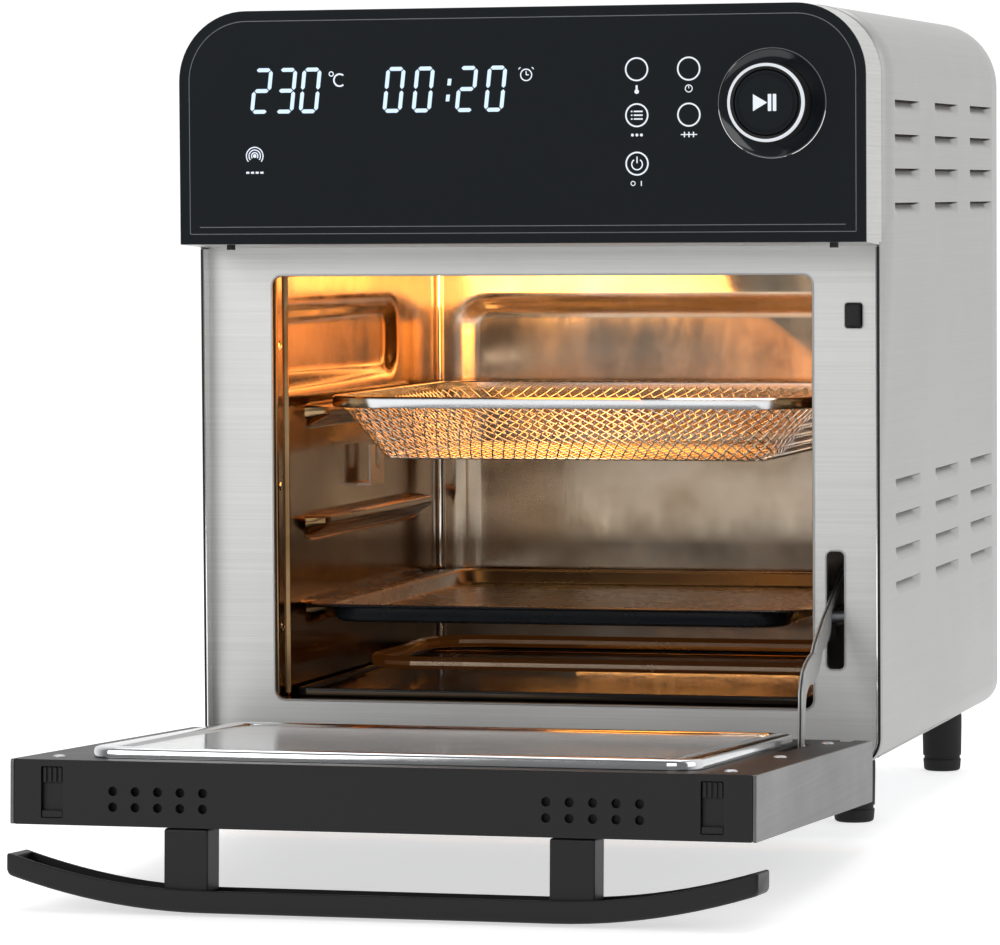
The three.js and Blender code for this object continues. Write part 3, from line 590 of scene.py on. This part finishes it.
def cavity():
    half, floor, ceiling, back, front = LINER
    heights = [top + step for top in RAIL_TOPS for step in (-10, -8, -6, -4, -2, 0, 0.6, 1.2)]
    folds = [FOLD - 1.5, FOLD - 0.75, FOLD, FOLD + 0.01]
    for side, name in ((-1, "left"), (1, "right")):
        form = Form()
        sheet_grid(form, stations(front, back, 3.5, folds), stations(floor, ceiling, 2.5, heights),
                   lambda y, z: (side * (half - wall_relief(y, z)), y, z))
        form.piece(f"cavity_wall_{name}", "painted_amber_steel", "oven_body", "polished_steel",
                   ["cavity_liner"] if side < 0 else (), solid=0.6, tidy=False)
    form = Form()
    sheet_grid(form, stations(-half, half, 4), stations(floor, ceiling, 3),
               lambda x, z: (x, back + panel_depth(x, z, REAR_PANEL), z))
    form.piece("cavity_rear", "painted_warm_back", "oven_body", "polished_steel", ["cavity_back"],
               solid=0.6, tidy=False)
    roof = Form()
    roof.plate("z", ceiling, ceiling + 0.8, rounded(-half, half, front, back, 2),
               circle(*FAN_HOLE, 72)[::-1])
    roof.piece("cavity_roof", "painted_amber_steel", "oven_body", "polished_steel")
    bottom = Form()
    bottom.plate("z", floor - 0.8, floor, rounded(-half, half, front, back, 2))
    for y in (22, 262):
        bottom.tube([(-half + 6, y, floor + 1.2), (half - 6, y, floor + 1.2)], 1.3, 12)
    bottom.piece("cavity_floor", "painted_amber_steel", "oven_body", "polished_steel", bevel=0.2)
    corners = Form()
    for x in (-half, half):
        corners.tube([(x * 0.985, back - 2, floor), (x * 0.985, back - 2, ceiling)], 2.0, 12)
    for z in (235, 165, 95):
        for side in (-1, 1):
            corners.turned([(0.01, 0), (2.6, 0), (2.5, 0.6), (1.6, 1.1), (0.01, 0.7)],
                           (side * (half + 1.6), 8, z), "x", 20, -side)
    corners.piece("cavity_screws", "chrome", "oven_body", "polished_steel")


# ---- control panel ----
GLASS_INSET = 5.3
DIAL = Named(x=124.8, z=351.1, dish=26.2, knob=19, disc=15.4)


def panel_outline(inset, drop=0):
    """The control panel's outline, drawn in by inset, its lower edge lowered by drop."""
    return rounded(PANEL.x0 + inset, PANEL.x1 - inset, PANEL.z0 - drop + inset, PANEL.z1 - inset, 0.01,
                   TOP_RADIUS - inset, 16)


def control_panel():
    front = PANEL.y0
    rings = []
    for inset, y, drop in ((0.5, front + 1.2, 0), (0, front + 1.6, 0.1), (0, -1, 2), (SHEET, -1, 2),
                           (SHEET, front + 1.2, 0)):
        rings.append([(u, y, v) for u, v in panel_outline(inset, drop)])
    Form().loft(rings, ends=False).piece("panel_housing", "brushed_side", "oven_body", "brushed_steel",
                                         ["control_housing"], bevel=0.15)
    Form().plate("y", front, front + 1.1, panel_outline(0), panel_outline(GLASS_INSET - 0.6)[::-1]).piece(
        "panel_rim", "black_glass", "oven_body", "black_plastic", ["control_bezel"], bevel=0.45, segments=4)
    Form().ribbon("y", panel_outline(GLASS_INSET - 0.5), [(0, front + 0.25), (0.35, front + 0.25),
                  (0.35, front + 1.5), (0, front + 1.5)]).piece(
        "panel_line", "fine_line", "oven_body", "brushed_steel")
    shaft = circle(DIAL.x, DIAL.z, 9)
    Form().plate("y", front + 0.2, front + 3.2, panel_outline(GLASS_INSET), shaft[::-1]).piece(
        "panel_glass", "black_glass", "oven_body", "black_glass", ["control_glass"], bevel=0.2)
    Form().plate("y", front + 0.12, front + 0.24,
                 rounded(PANEL.x0 + 10, PANEL.x1 - 10, PANEL.z0 + 8.2, PANEL.z0 + 8.5, 0.1)).piece(
        "panel_lower_line", "fine_line", "oven_body", "black_glass")


GLASS_FACE = PANEL.y0 + 0.2


def printed(form, outline, *holes):
    """A flat mark that stands a hair in front of the panel's glass."""
    form.plate("y", GLASS_FACE - 0.06, GLASS_FACE + 0.02, outline, *holes)


SEGMENTS = {"0": "abcdef", "2": "abged", "3": "abgcd"}
DIGIT = Named(width=9.6, height=22, bar=1.9, slant=0.11)


def segment(x0, z0, x1, z1, bar):
    """A six-sided display bar between two points, along X or Z."""
    half, gap = bar / 2, 0.35
    if z0 == z1:
        x0, x1 = x0 + gap, x1 - gap
        return [(x0, z0), (x0 + half, z0 - half), (x1 - half, z0 - half), (x1, z0),
                (x1 - half, z0 + half), (x0 + half, z0 + half)]
    z0, z1 = z0 + gap, z1 - gap
    return [(x0, z0), (x0 + half, z0 + half), (x0 + half, z1 - half), (x0, z1),
            (x0 - half, z1 - half), (x0 - half, z0 + half)]


def digit(form, figure, x, z):
    w, h, bar = DIGIT.width - DIGIT.bar, DIGIT.height - DIGIT.bar, DIGIT.bar
    bars = {"a": (0, h, w, h), "b": (w, h / 2, w, h), "c": (w, 0, w, h / 2), "d": (0, 0, w, 0),
            "e": (0, 0, 0, h / 2), "f": (0, h / 2, 0, h), "g": (0, h / 2, w, h / 2)}
    for key in SEGMENTS[figure]:
        outline = [(x + bar / 2 + u + DIGIT.slant * v, z + bar / 2 + v)
                   for u, v in segment(*bars[key], bar)]
        printed(form, outline)


def printed_ring(form, x, z, radius, stroke, start=0, end=360):
    if end - start == 360:
        printed(form, circle(x, z, radius, 48), circle(x, z, radius - stroke, 48)[::-1])
    else:
        printed(form, arc(x, z, radius, start, end, 20) + arc(x, z, radius - stroke, end, start, 20))


def printed_bar(form, x0, x1, z0, z1, radius=0.2):
    printed(form, rounded(x0, x1, z0, z1, radius, steps=3))


TEMPERATURE = Named(first=-133.8, pitch=12.3, base=348.6)
TIME = Named(places=(-67, -52.4, -30.8, -16.4), base=348.4, colon=(355.2, 362.8))


def display():
    form = Form()
    for i, figure in enumerate("230"):
        digit(form, figure, TEMPERATURE.first + TEMPERATURE.pitch * i, TEMPERATURE.base)
    for figure, x in zip("0020", TIME.places):
        digit(form, figure, x, TIME.base)
    for z in TIME.colon:
        lean = DIGIT.slant * (z - TIME.base)
        printed(form, [(-36.1 + lean, z - 1.6), (-34.3 + lean, z - 1.6),
                       (-33.9 + lean, z + 1.6), (-35.7 + lean, z + 1.6)])
    form.piece("display_digits", DIGIT_GLOW, "oven_body", "black_glass")

    marks = Form()
    printed_ring(marks, -92.6, 367.4, 1.3, 0.5)
    printed_ring(marks, -88.4, 364.4, 3.3, 0.8, 50, 310)
    clock = (4.7, 365.8)
    printed_ring(marks, *clock, 3.0, 0.55)
    for turn in (-1, 1):
        printed_ring(marks, clock[0] + turn * 2.7, clock[1] + 2.6, 1.1, 0.45, 45 - 45 * turn, 135 - 45 * turn)
    printed_bar(marks, clock[0] - 0.25, clock[0] + 0.25, clock[1], clock[1] + 1.8, 0.1)
    printed_bar(marks, clock[0], clock[0] + 1.3, clock[1] - 0.25, clock[1] + 0.25, 0.1)
    wave = (-131.7, 328.2)
    for radius in (4.5, 3.2, 1.9):
        printed_ring(marks, *wave, radius, 0.55, -40, 220)
    printed_ring(marks, *wave, 0.9, 0.88)
    for i in range(4):
        x = wave[0] - 4.4 + 2.4 * i
        printed_bar(marks, x, x + 1.6, wave[1] - 8.6, wave[1] - 7.6)
    marks.piece("display_marks", new_material("mark_print", (0.5, 0.52, 0.56), 0.5,
                Emission_Color=(0.75, 0.85, 1.0, 1), Emission_Strength=0.5), "oven_body", "black_glass")


KEYS = ((59, 367.8), (84.4, 367.8), (59, 346), (84.4, 346), (59, 323))
ICON_DROP = 9.4


def keys():
    form = Form()
    for x, z in KEYS:
        printed_ring(form, x, z, 5.7, 0.75)
    x, z = KEYS[2]
    for row in (-1.8, 0, 1.8):
        printed_bar(form, x - 2.9, x - 2.1, z + row - 0.35, z + row + 0.35)
        printed_bar(form, x - 1.5, x + 2.9, z + row - 0.35, z + row + 0.35)
    x, z = KEYS[4]
    printed_ring(form, x, z - 0.3, 2.9, 0.6, 125, 415)
    printed_bar(form, x - 0.3, x + 0.3, z + 0.2, z + 3.4)
    icons = [(x, z - ICON_DROP) for x, z in KEYS]
    x, z = icons[0]                  # thermometer
    printed_bar(form, x - 0.5, x + 0.5, z - 0.6, z + 1.9, 0.4)
    printed_ring(form, x, z - 1.2, 1.1, 1.08)
    x, z = icons[1]                  # clock
    printed_ring(form, x, z, 1.9, 0.45)
    printed_bar(form, x - 0.2, x + 0.2, z, z + 1.3, 0.1)
    x, z = icons[2]                  # three dots
    for step in (-2.2, 0, 2.2):
        printed_ring(form, x + step, z, 0.7, 0.68)
    x, z = icons[3]                  # spit with its forks
    printed_bar(form, x - 4, x + 4, z - 0.25, z + 0.25, 0.1)
    for step in (-2.2, 0, 2.2):
        printed_bar(form, x + step - 0.3, x + step + 0.3, z - 1.3, z + 1.3)
    x, z = icons[4]                  # on and off
    printed_ring(form, x - 2, z, 1.2, 0.4)
    printed_bar(form, x + 1.8, x + 2.3, z - 1.2, z + 1.2, 0.1)
    form.piece("key_print", WHITE_PRINT, "oven_body", "black_glass")


def dial():
    x, z, knob, disc = DIAL.x, DIAL.z, DIAL.knob, DIAL.disc
    rim = DIAL.dish
    face = -PANEL.y0

    def lathe(profile):
        """Profile points are (radius, distance in front of the fascia)."""
        return Form().turned(profile, (x, 0, z), "y", 96, -1)

    dish = [(knob + 0.5, face - 0.05), (rim - 5, face - 0.02), (rim - 2, face + 0.35),
            (rim - 0.9, face + 0.6), (rim - 0.3, face + 0.35), (rim, face - 0.3), (rim - 0.3, face - 1.2),
            (knob + 0.5, face - 1.1), (knob + 0.5, face - 0.05)]
    lathe(dish).piece(
        "dial_dish", "black_glass", "oven_body", "black_plastic", ["dial_bezel"])
    edge = [(rim - 0.35, face + 0.38), (rim - 0.1, face + 0.25), (rim - 0.02, face), (rim - 0.35, face - 0.1),
            (rim - 0.35, face + 0.38)]
    lathe(edge).piece("dial_dish_edge", "chrome", "oven_body", "brushed_steel")
    span = Span("dial_knob")
    nose = -span.y0
    side = [(disc + 0.4, face + 6.4), (disc + 0.4, nose - 1.3), (disc + 0.9, nose - 0.8),
            (knob - 2.2, nose - 0.45), (knob - 1.9, nose - 0.2), (knob - 1.9, nose - 1.5),
            (knob - 0.4, nose - 1.8), (knob, nose - 2.6), (knob, face + 0.9), (knob - 0.6, face + 0.5),
            (4, face + 0.5), (4, face - 9), (3.2, face - 9), (3.2, face + 6.4), (disc + 0.4, face + 6.4)]
    lathe(side).piece(
        "dial_grip", "black_plastic", "dial", "black_plastic", ["dial_knob"], crease=28)
    ring = [(knob - 1.85, nose - 1.6), (knob - 1.85, nose - 0.15), (knob - 1.5, nose),
            (knob - 0.8, nose - 0.1), (knob - 0.5, nose - 0.6), (knob - 0.45, nose - 1.7),
            (knob - 1.85, nose - 1.6)]
    lathe(ring).piece("dial_light_ring", RING_GLOW, "dial", "black_plastic")
    top = -Span("start_button").y0
    disc_profile = [(0.01, face + 8.4), (disc - 0.2, face + 8.4), (disc, face + 8.8), (disc, top - 0.5),
                    (disc - 0.35, top), (disc - 1.5, top), (disc - 1.7, top - 0.25), (disc - 2.0, top - 0.25),
                    (disc - 2.2, top), (6, top - 0.1), (0.01, top - 0.15)]
    lathe(disc_profile).piece(
        "start_disc", "black_glass", "button", "black_plastic", ["start_button"], crease=25)
    print_face = -top + 0.12
    mark = Form()
    left = x - 5.6 - 0.7
    mark.plate("y", print_face - 0.12, print_face + 0.05, [(left, z - 4), (left + 6.8, z), (left, z + 4)])
    for step in (7.15, 9.55):
        mark.plate("y", print_face - 0.12, print_face + 0.05,
                   rounded(left + step, left + step + 1.65, z - 4, z + 4, 0.2, steps=3))
    mark.piece("start_mark", WHITE_PRINT, "button", "black_plastic")


# ---- door, drawn shut ----
CAP = Span("door_top_cap", DOOR)
DOOR_FRAME = Span("door_frame", DOOR)
CLIP = Span("corner_clip_right", DOOR)


DOOR_OPENING = Named(half=120, low=52, high=220, radius=6)
STAY_POCKET = Named(x=(142.4, 147.6), z=(39.5, 95.5), depth=15)
KNUCKLE = Named(x=(154, 161), height=11.2)


def door_shell():
    f = DOOR_FRAME
    inner, split = f.y1, f.y1 - STAY_POCKET.depth
    window = rounded(-DOOR_OPENING.half, DOOR_OPENING.half, f.z0 + DOOR_OPENING.low,
                     f.z0 + DOOR_OPENING.high, DOOR_OPENING.radius)[::-1]
    pocket = rounded(*STAY_POCKET.x, *(f.z0 + z for z in STAY_POCKET.z), 0.5)[::-1]
    outline = rounded(f.x0, f.x1, f.z0 + KNUCKLE.height, f.z1, 1)
    form = Form()
    form.plate("y", f.y0, split, outline, window)
    form.plate("y", split - 0.01, inner, outline, window, pocket)
    near, far = KNUCKLE.x
    for x0, x1 in ((f.x0, -far), (-near, near), (far, f.x1)):
        form.block(x0, x1, f.y0, inner, f.z0, f.z0 + KNUCKLE.height + 0.3)
    form.piece("door_body", "black_plastic", "door", "black_plastic", ["door_frame"], bevel=0.5)

    screws = Form()
    for x in (-154, 154):
        for z in (f.z0 + 30, f.z0 + 136, f.z1 - 16):
            screws.turned([(0.01, 0), (3.0, 0), (2.9, 0.4), (2.0, 0.9), (0.01, 0.5)], (x, inner, z), "y", 24)
    screws.piece("door_screws", "galvanised", "door", "black_plastic")

    glass = Span("door_outer_glass", DOOR)
    Form().plate("y", glass.y0, glass.y1, glass.face(1.5)).piece(
        "door_front_glass", "black_glass", "door", "black_glass", ["door_outer_glass"], bevel=0.5)
    for hand in ("left", "right"):
        t = Span(f"door_trim_{hand}", DOOR)
        Form().plate("x", t.x0, t.x1, rounded(t.y0, t.y1, t.z0, t.z1, 1)).piece(
            f"door_edge_{hand}", "door_trim", "door", "brushed_steel", [f"door_trim_{hand}"], bevel=0.3)


def door_cap():
    holes = []
    for x0 in (-121.7, 76.5):
        for column in range(5):
            for depth in (13.5, 20.5):
                holes.append(circle(x0 + column * 10.45, CAP.y1 - depth, 2.1, 20)[::-1])
    for side in (-1, 1):
        edges = sorted((side * CLIP.x0, side * CLIP.x1))
        holes.append(rounded(edges[0] - 0.3, edges[1] + 0.3, CLIP.y0 - 0.3, CLIP.y1 + 0.3, 0.6)[::-1])
    Form().plate("z", CAP.z0, CAP.z1, rounded(CAP.x0, CAP.x1, CAP.y0, CAP.y1, 0.8), *holes).piece(
        "door_cap", "black_plastic", "door", "black_plastic", ["door_top_cap"], bevel=0.4)
    for hand, side in (("left", -1), ("right", 1)):
        form = Form()
        x0, x1 = sorted((side * CLIP.x0, side * CLIP.x1))
        low, top = CLIP.z0, CLIP.z1
        form.block(x0, x1, CLIP.y0, CLIP.y1, low, low + 1.2)
        form.block(x0, x1, CLIP.y0 + 15.4, CLIP.y1, low + 1, top - 0.9)
        for rib in range(4):
            a = x0 + 0.7 + rib * 2.4
            form.block(a, a + 1.3, CLIP.y0 + 15.6, CLIP.y1 - 0.2, low + 1, top)
        form.block(x0, x1, CLIP.y0, CLIP.y0 + 3, low + 1, top)
        form.piece(f"door_clip_{hand}", "black_plastic", "door", "black_plastic", [f"corner_clip_{hand}"],
                   bevel=0.2)


def door_window():
    b = Span("door_inner_bezel", DOOR)
    g = Span("door_inner_glass", DOOR)
    section = [(0, b.y0), (0, b.y1 - 1.8), (0.6, b.y1 - 0.6), (2.0, b.y1), (9, b.y1), (10.4, b.y1 - 0.7),
               (11.4, b.y1 - 1.6), (13.8, b.y1 - 2.2), (13.9, b.y0)]
    Form().ribbon("y", rounded(b.x0, b.x1, b.z0, b.z1, 14, steps=10), section).piece(
        "door_bezel", "bezel_steel", "door", "polished_steel", ["door_inner_bezel"], crease=50)
    Form().plate("y", g.y0, g.y1, g.face(4)).piece(
        "door_pane", "clear_glass", "door", "clear_glass", ["door_inner_glass"], bevel=0.3)


GRIP = Named(flat=80, bend=280, depth=10, trough=4, rim=2.4)


def handle():
    bar = Span("handle_bar", DOOR)
    front, low, high = bar.y0, bar.z0, bar.z1
    half = bar.x1

    def bend(x):
        return max(0.0, abs(x) - GRIP.flat) ** 2 / (2 * GRIP.bend)

    xs = [-half, -half + 0.7, -half + 1.6, -half + 4.2, -half + 4.4] + [-160 + 8 * i for i in range(41)]
    xs += [-x for x in reversed(xs[:5])]
    rings = []
    for x in xs:
        end = half - abs(x)
        shrink = 0.9 * max(0.0, 1 - end / 1.6) ** 2
        y0 = front + bend(x) + shrink
        y1 = front + GRIP.depth + bend(x) - shrink
        z0, z1 = low + shrink, high - shrink
        floor = y0 + GRIP.trough if end > 4.3 else y1 - 0.05
        r, rim = 2.2, GRIP.rim
        section = arc(y0 + r, z0 + r, r, 270, 180, 5) + arc(y0 + r, z1 - r, r, 180, 90, 5)
        section += [(y1 - 0.5, z1), (y1, z1 - 0.5), (y1, z1 - rim + 0.3), (y1 - 0.3, z1 - rim),
                    (floor, z1 - rim), (floor, z0 + rim), (y1 - 0.3, z0 + rim), (y1, z0 + rim - 0.3),
                    (y1, z0 + 0.5), (y1 - 0.5, z0)]
        rings.append([(x, y, z) for y, z in section])
    Form().loft(rings).piece("handle_grip", "black_plastic", "door", "black_plastic", ["handle_bar"])
    for hand in ("left", "right"):
        p = Span(f"handle_post_{hand}", DOOR)
        Form().block(*p.edges).piece(
            f"handle_stand_{hand}", "black_plastic", "door", "black_plastic", [f"handle_post_{hand}"],
                   bevel=1.2, segments=4)


# ---- stay arm ----
# The two edges of the leaf, as (y, z): from the door up its front edge, then back down its rear edge.
STAY_FRONT = ((-76, 46), (-76, 52), (-75, 64), (-74.5, 75), (-72, 80.5), (-68, 85), (-62, 88), (-52, 91),
              (-46.5, 91.5), (-42, 95.5), (-33.5, 100), (-22, 106), (-12, 110), (14, 121), (27, 127))
STAY_REAR = ((28, 123.5), (14, 117), (-7, 108), (-8, 100.5), (-11, 97), (-19.5, 93), (-22.5, 91.5),
             (-27, 91.5), (-29, 90), (-31, 87.5), (-36, 83), (-39.5, 81), (-46.5, 78.5), (-50, 77),
             (-57, 77.5), (-61, 76.5), (-66, 74), (-68, 69), (-69, 63), (-71, 52), (-71.4, 46))
LEAF = Named(left=143.8, right=146.2, skin=0.8, rivet=(-74, 48))


def stay():
    left, right, skin = LEAF.left, LEAF.right, LEAF.skin
    outline = list(reversed(STAY_FRONT + STAY_REAR))
    core = [(y - 1.2, z) for y, z in STAY_REAR[3:]] + [(y + 2.6, z - 0.6) for y, z in STAY_FRONT[1:-2]]
    form = Form()
    form.plate("x", left, left + skin, outline)
    form.plate("x", right - skin, right, outline)
    form.plate("x", left + skin - 0.1, right - skin + 0.1, core)
    form.turned([(0.01, 0), (3.0, 0), (3.0, 0.5), (2.4, 0.9), (0.01, 1)], (right, *LEAF.rivet), "x", 24)
    form.piece("stay_leaf", "satin_wrap", "stay", "brushed_steel", ["stay_arm"], bevel=0.15, segments=2)


def switch():
    p = Span("switch_plunger")
    Form().block(*p.edges).piece(
        "switch_button", "black_plastic", "plunger", "black_plastic", ["switch_plunger"], bevel=0.9)


# ---- accessories ----
def ring_points(span, corner, inset, steps=10, side=None):
    side = inset if side is None else side
    return rounded(span.x0 + side, span.x1 - side, span.y0 + inset, span.y1 - inset,
                   max(corner - inset, 6), steps=steps)


def along(loop):
    """A function that gives the point at a share of a closed loop's length."""
    points = loop + loop[:1]
    marks = running(points)

    def at(share):
        want = (share % 1.0) * marks[-1]
        low, high = 0, len(marks) - 1
        while high - low > 1:
            middle = (low + high) // 2
            low, high = (middle, high) if marks[middle] <= want else (low, middle)
        t = (want - marks[low]) / max(1e-9, marks[high] - marks[low])
        a, b = points[low], points[high]
        return a[0] + (b[0] - a[0]) * t, a[1] + (b[1] - a[1]) * t
    return at, marks[-1]


WIRE = Named(radius=0.4, pitch=6.6, weave=0.25, corner=34, taper=24.6, floor_corner=8)


def basket():
    rim = Span("basket_rim")
    corner = WIRE.corner
    section = [(0, rim.z0 + 0.4), (0.3, rim.z0), (1.6, rim.z0), (1.9, rim.z0 + 0.8), (1.9, rim.z1 - 1.0),
               (4.6, rim.z1 - 0.6), (5.0, rim.z1 - 0.2), (4.8, rim.z1), (0.8, rim.z1), (0, rim.z1 - 0.8)]
    Form().ribbon("z", ring_points(rim, corner, 0, 16), section).piece(
        "basket_band", "band_steel", "basket", "polished_steel", ["basket_rim"], crease=40)

    mesh = Span("basket_mesh")
    depth = mesh.z1 - mesh.z0
    taper = WIRE.taper
    profile = [(0, rim.z0 + 1.5), (taper * 0.85, mesh.z0 + depth * 0.14), (taper * 0.93, mesh.z0 + 1.6),
               (taper * 1.06, mesh.z0 + 0.7), (taper * 1.3, mesh.z0 + 0.6)]
    marks = running(profile)
    loops = [along(ring_points(mesh, corner, inset)) for inset, _ in profile]
    total = loops[0][1]

    def wall(share, down):
        """The point a given way down the slope at a share of the way round."""
        k = max(i for i in range(len(marks) - 1) if marks[i] <= down + 1e-9)
        t = (down - marks[k]) / (marks[k + 1] - marks[k])
        ax, ay = loops[k][0](share)
        bx, by = loops[k + 1][0](share)
        low, high = profile[k][1], profile[k + 1][1]
        return Vector((ax + (bx - ax) * t, ay + (by - ay) * t, low + (high - low) * t))

    form = Form()
    wires = round(total / WIRE.pitch)
    steps = 2 * ceil(marks[-1] / (WIRE.pitch / 2)) + 1
    for turn in (-1, 1):
        for i in range(wires):
            line = []
            for k in range(steps):
                down = marks[-1] * k / (steps - 1)
                share = i / wires + turn * down / total
                point = wall(share, down)
                across = wall(share + 0.002, down) - wall(share - 0.002, down)
                slope = wall(share, min(down + 0.5, marks[-1])) - wall(share, max(down - 0.5, 0))
                over = turn * WIRE.weave * cos(pi * down / (WIRE.pitch / 2))
                line.append(point + across.cross(slope).normalized() * over)
            form.tube(line, WIRE.radius, 5)
    form.piece("basket_wall_wires", "wire_steel", "basket", "wire_steel", ["basket_mesh"], tidy=False,
               crease=80)

    floor = Form()
    inset = profile[-1][0]
    x1, y0, y1 = mesh.x1 - inset, mesh.y0 + inset, mesh.y1 - inset
    radius = WIRE.floor_corner
    level = profile[-1][1]
    middle = (y0 + y1) / 2

    def inside(x, y):
        dx, dy = abs(x) - x1 + radius, abs(y - middle) - (y1 - y0) / 2 + radius
        return hypot(max(dx, 0), max(dy, 0)) <= radius

    reach = int((x1 + (y1 - y0) / 2) / WIRE.pitch)
    for turn in (-1, 1):
        for i in range(-reach, reach + 1):
            offset = i * WIRE.pitch
            line = []
            for k in range(-100, 101):
                x = k * WIRE.pitch / 2
                y = middle + turn * (x - offset)
                if inside(x, y):
                    over = WIRE.weave * (1 if (k + (turn > 0)) % 2 else -1)
                    line.append((x, y, level + over))
            if len(line) > 1:
                floor.tube(line, WIRE.radius, 5)
    floor.piece("basket_floor_wires", "wire_steel", "basket", "wire_steel", tidy=False, crease=80)


def tray():
    t = Span("baking_tray")
    corner, top, bottom = 20, t.z1, t.z0
    # inset at the front and rear, height, inset at the sides: the inside first, then the outside
    levels = [(11, bottom + 1.2, 21), (5.2, bottom + 1.2, 15.2), (4.2, bottom + 2, 14.2),
              (3.4, top - 1.4, 13), (2.6, top - 0.5, 12), (1.2, top, 9), (0.5, top - 0.1, 1),
              (0, top - 0.6, 0), (0.2, top - 1.2, 0.3), (1.4, top - 1.3, 9), (2.2, top - 2, 11.6),
              (3, bottom + 2, 13), (3.6, bottom + 0.6, 14), (5, bottom, 15.4), (11, bottom, 21)]
    rings = []
    for inset, z, side in levels:
        rings.append([(x, y, z) for x, y in ring_points(t, corner, inset, 10, side)])
    Form().loft(rings).piece("tray_pan", "black_enamel", "tray", "black_enamel", ["baking_tray"], crease=60)


def crumb_tray():
    c = Span("crumb_tray")
    rings = []
    for inset, z in ((1.2, c.z0 + 1), (1.0, c.z1 - 0.4), (0.6, c.z1), (0.1, c.z1 - 0.3),
                     (0, c.z0 + 0.6), (0.6, c.z0)):
        rings.append([(x, y, z) for x, y in ring_points(c, 7, inset, 5)])
    Form().loft(rings).piece("crumb_pan", "pan_enamel", "crumbs", "black_enamel", ["crumb_tray"], crease=50)


# ---- stage, camera and light ----
DIP = Named(depth=8.4, start=-130.0, end=40.0)     # the open door's handle hangs below the feet


def stage():
    start, run = DIP.start, DIP.end - DIP.start
    form = Form()
    xs = [-9000, -3000, -600, 600, 3000, 9000]
    ys = [-2300, -800] + [start + run * i / 24 for i in range(25)] + [1000, 4000, 9000]
    sheet_grid(form, xs, ys, lambda x, y: (x, y, -DIP.depth * (1 - smooth((y - start) / run))))
    mesh = bpy.data.meshes.new("floor")
    form.bm.to_mesh(mesh)
    form.bm.free()
    mesh.transform(BENCH)
    mesh.shade_smooth()
    material = new_material("floor_paper", (0.6, 0.6, 0.6), 0.7, Emission_Color=(1, 1, 1, 1),
                            Emission_Strength=0.62)
    vary(material, noise(material, (2.0, 2.0, 2.0)), "Base Color", (0.59, 0.59, 0.59), (0.61, 0.61, 0.61))
    mesh.materials.append(material)
    put("floor", mesh)


CAMERA = Named(place=(658.6, -2509.2, 307.6), turn=(15.1325, 2.9569, -0.3718), lens=192.03, sensor=36)


def camera():
    yaw, pitch, roll = (radians(angle) for angle in CAMERA.turn)
    forward = Vector((-sin(yaw) * cos(pitch), cos(yaw) * cos(pitch), -sin(pitch)))
    right = Vector((cos(yaw), sin(yaw), 0))
    up = right.cross(forward)
    right, up = right * cos(roll) + up * sin(roll), up * cos(roll) - right * sin(roll)
    data = bpy.data.cameras.new("camera")
    data.lens = CAMERA.lens
    data.sensor_width = CAMERA.sensor
    data.sensor_fit = "HORIZONTAL"
    data.clip_start, data.clip_end = 0.01, 100
    obj = put("camera", data)
    obj.matrix_world = Matrix.Translation(BENCH @ Vector(CAMERA.place)) @ Matrix(
        (right, up, -forward)).transposed().to_4x4()
    bpy.context.scene.camera = obj


def area_light(name, place, target, size, watts, color=(1, 1, 1)):
    """A soft box at a bench place, in millimetres, turned to a target."""
    data = bpy.data.lights.new(name, "AREA")
    data.shape = "RECTANGLE"
    data.size, data.size_y = size[0] * MM, size[1] * MM
    data.energy = watts
    data.color = color
    obj = put(name, data)
    start, end = BENCH @ Vector(place), BENCH @ Vector(target)
    turn = (end - start).to_track_quat("-Z", "Y")
    obj.matrix_world = Matrix.Translation(start) @ turn.to_matrix().to_4x4()


def world():
    """White behind the oven and overhead, greyer in front, so that the black panel stays dark."""
    scene_world = bpy.data.worlds.new("studio")
    bpy.context.scene.world = scene_world
    scene_world.use_nodes = True
    nodes, links = scene_world.node_tree.nodes, scene_world.node_tree.links
    place = nodes.new("ShaderNodeTexCoord")
    split = nodes.new("ShaderNodeSeparateXYZ")
    reach = nodes.new("ShaderNodeMapRange")
    reach.interpolation_type = "SMOOTHSTEP"
    feed(reach, From_Min=-0.5, From_Max=0.6, To_Min=0.22, To_Max=1.05)
    links.new(place.outputs["Generated"], split.inputs["Vector"])
    links.new(split.outputs["Y"], reach.inputs["Value"])
    back = nodes["Background"]
    feed(back, Color=(1, 1, 1, 1))
    links.new(reach.outputs["Result"], back.inputs["Strength"])


def lights():
    area_light("key", (-1500, -2300, 1300), (0, 100, 150), (1700, 1300), 29)
    area_light("front_fill", (500, -2300, 900), (0, 0, 200), (1200, 500), 5)
    area_light("right_fill", (1900, -300, 900), (150, 150, 200), (1200, 1200), 6.5)
    area_light("overhead", (0, 200, 1800), (0, 100, 0), (1600, 1400), 14)
    amber = (1.0, 0.34, 0.04)
    area_light("oven_glow_left", (-20, 130, 269), (-110, 150, 150), (200, 210), 0.66, amber)
    area_light("oven_glow_back", (-60, 236, 268), (-60, 289, 200), (150, 70), 0.27, (1.0, 0.48, 0.14))
    area_light("oven_fill", (80, 60, 268), (60, 240, 90), (70, 60), 0.12, (1.0, 0.78, 0.58))
    area_light("oven_low_glow", (48, 206, 65), (48, 205.5, 60), (165, 1.5), 0.03, (1.0, 0.42, 0.10))


bpy.context.scene.view_settings.view_transform = "Standard"
for build in (wrap_sheet, fascia, rear, feet, cavity, control_panel, display, keys, dial, door_shell,
              door_cap, door_window, handle, stay, switch, basket, tray, crumb_tray, stage, camera,
              world, lights):
    build()
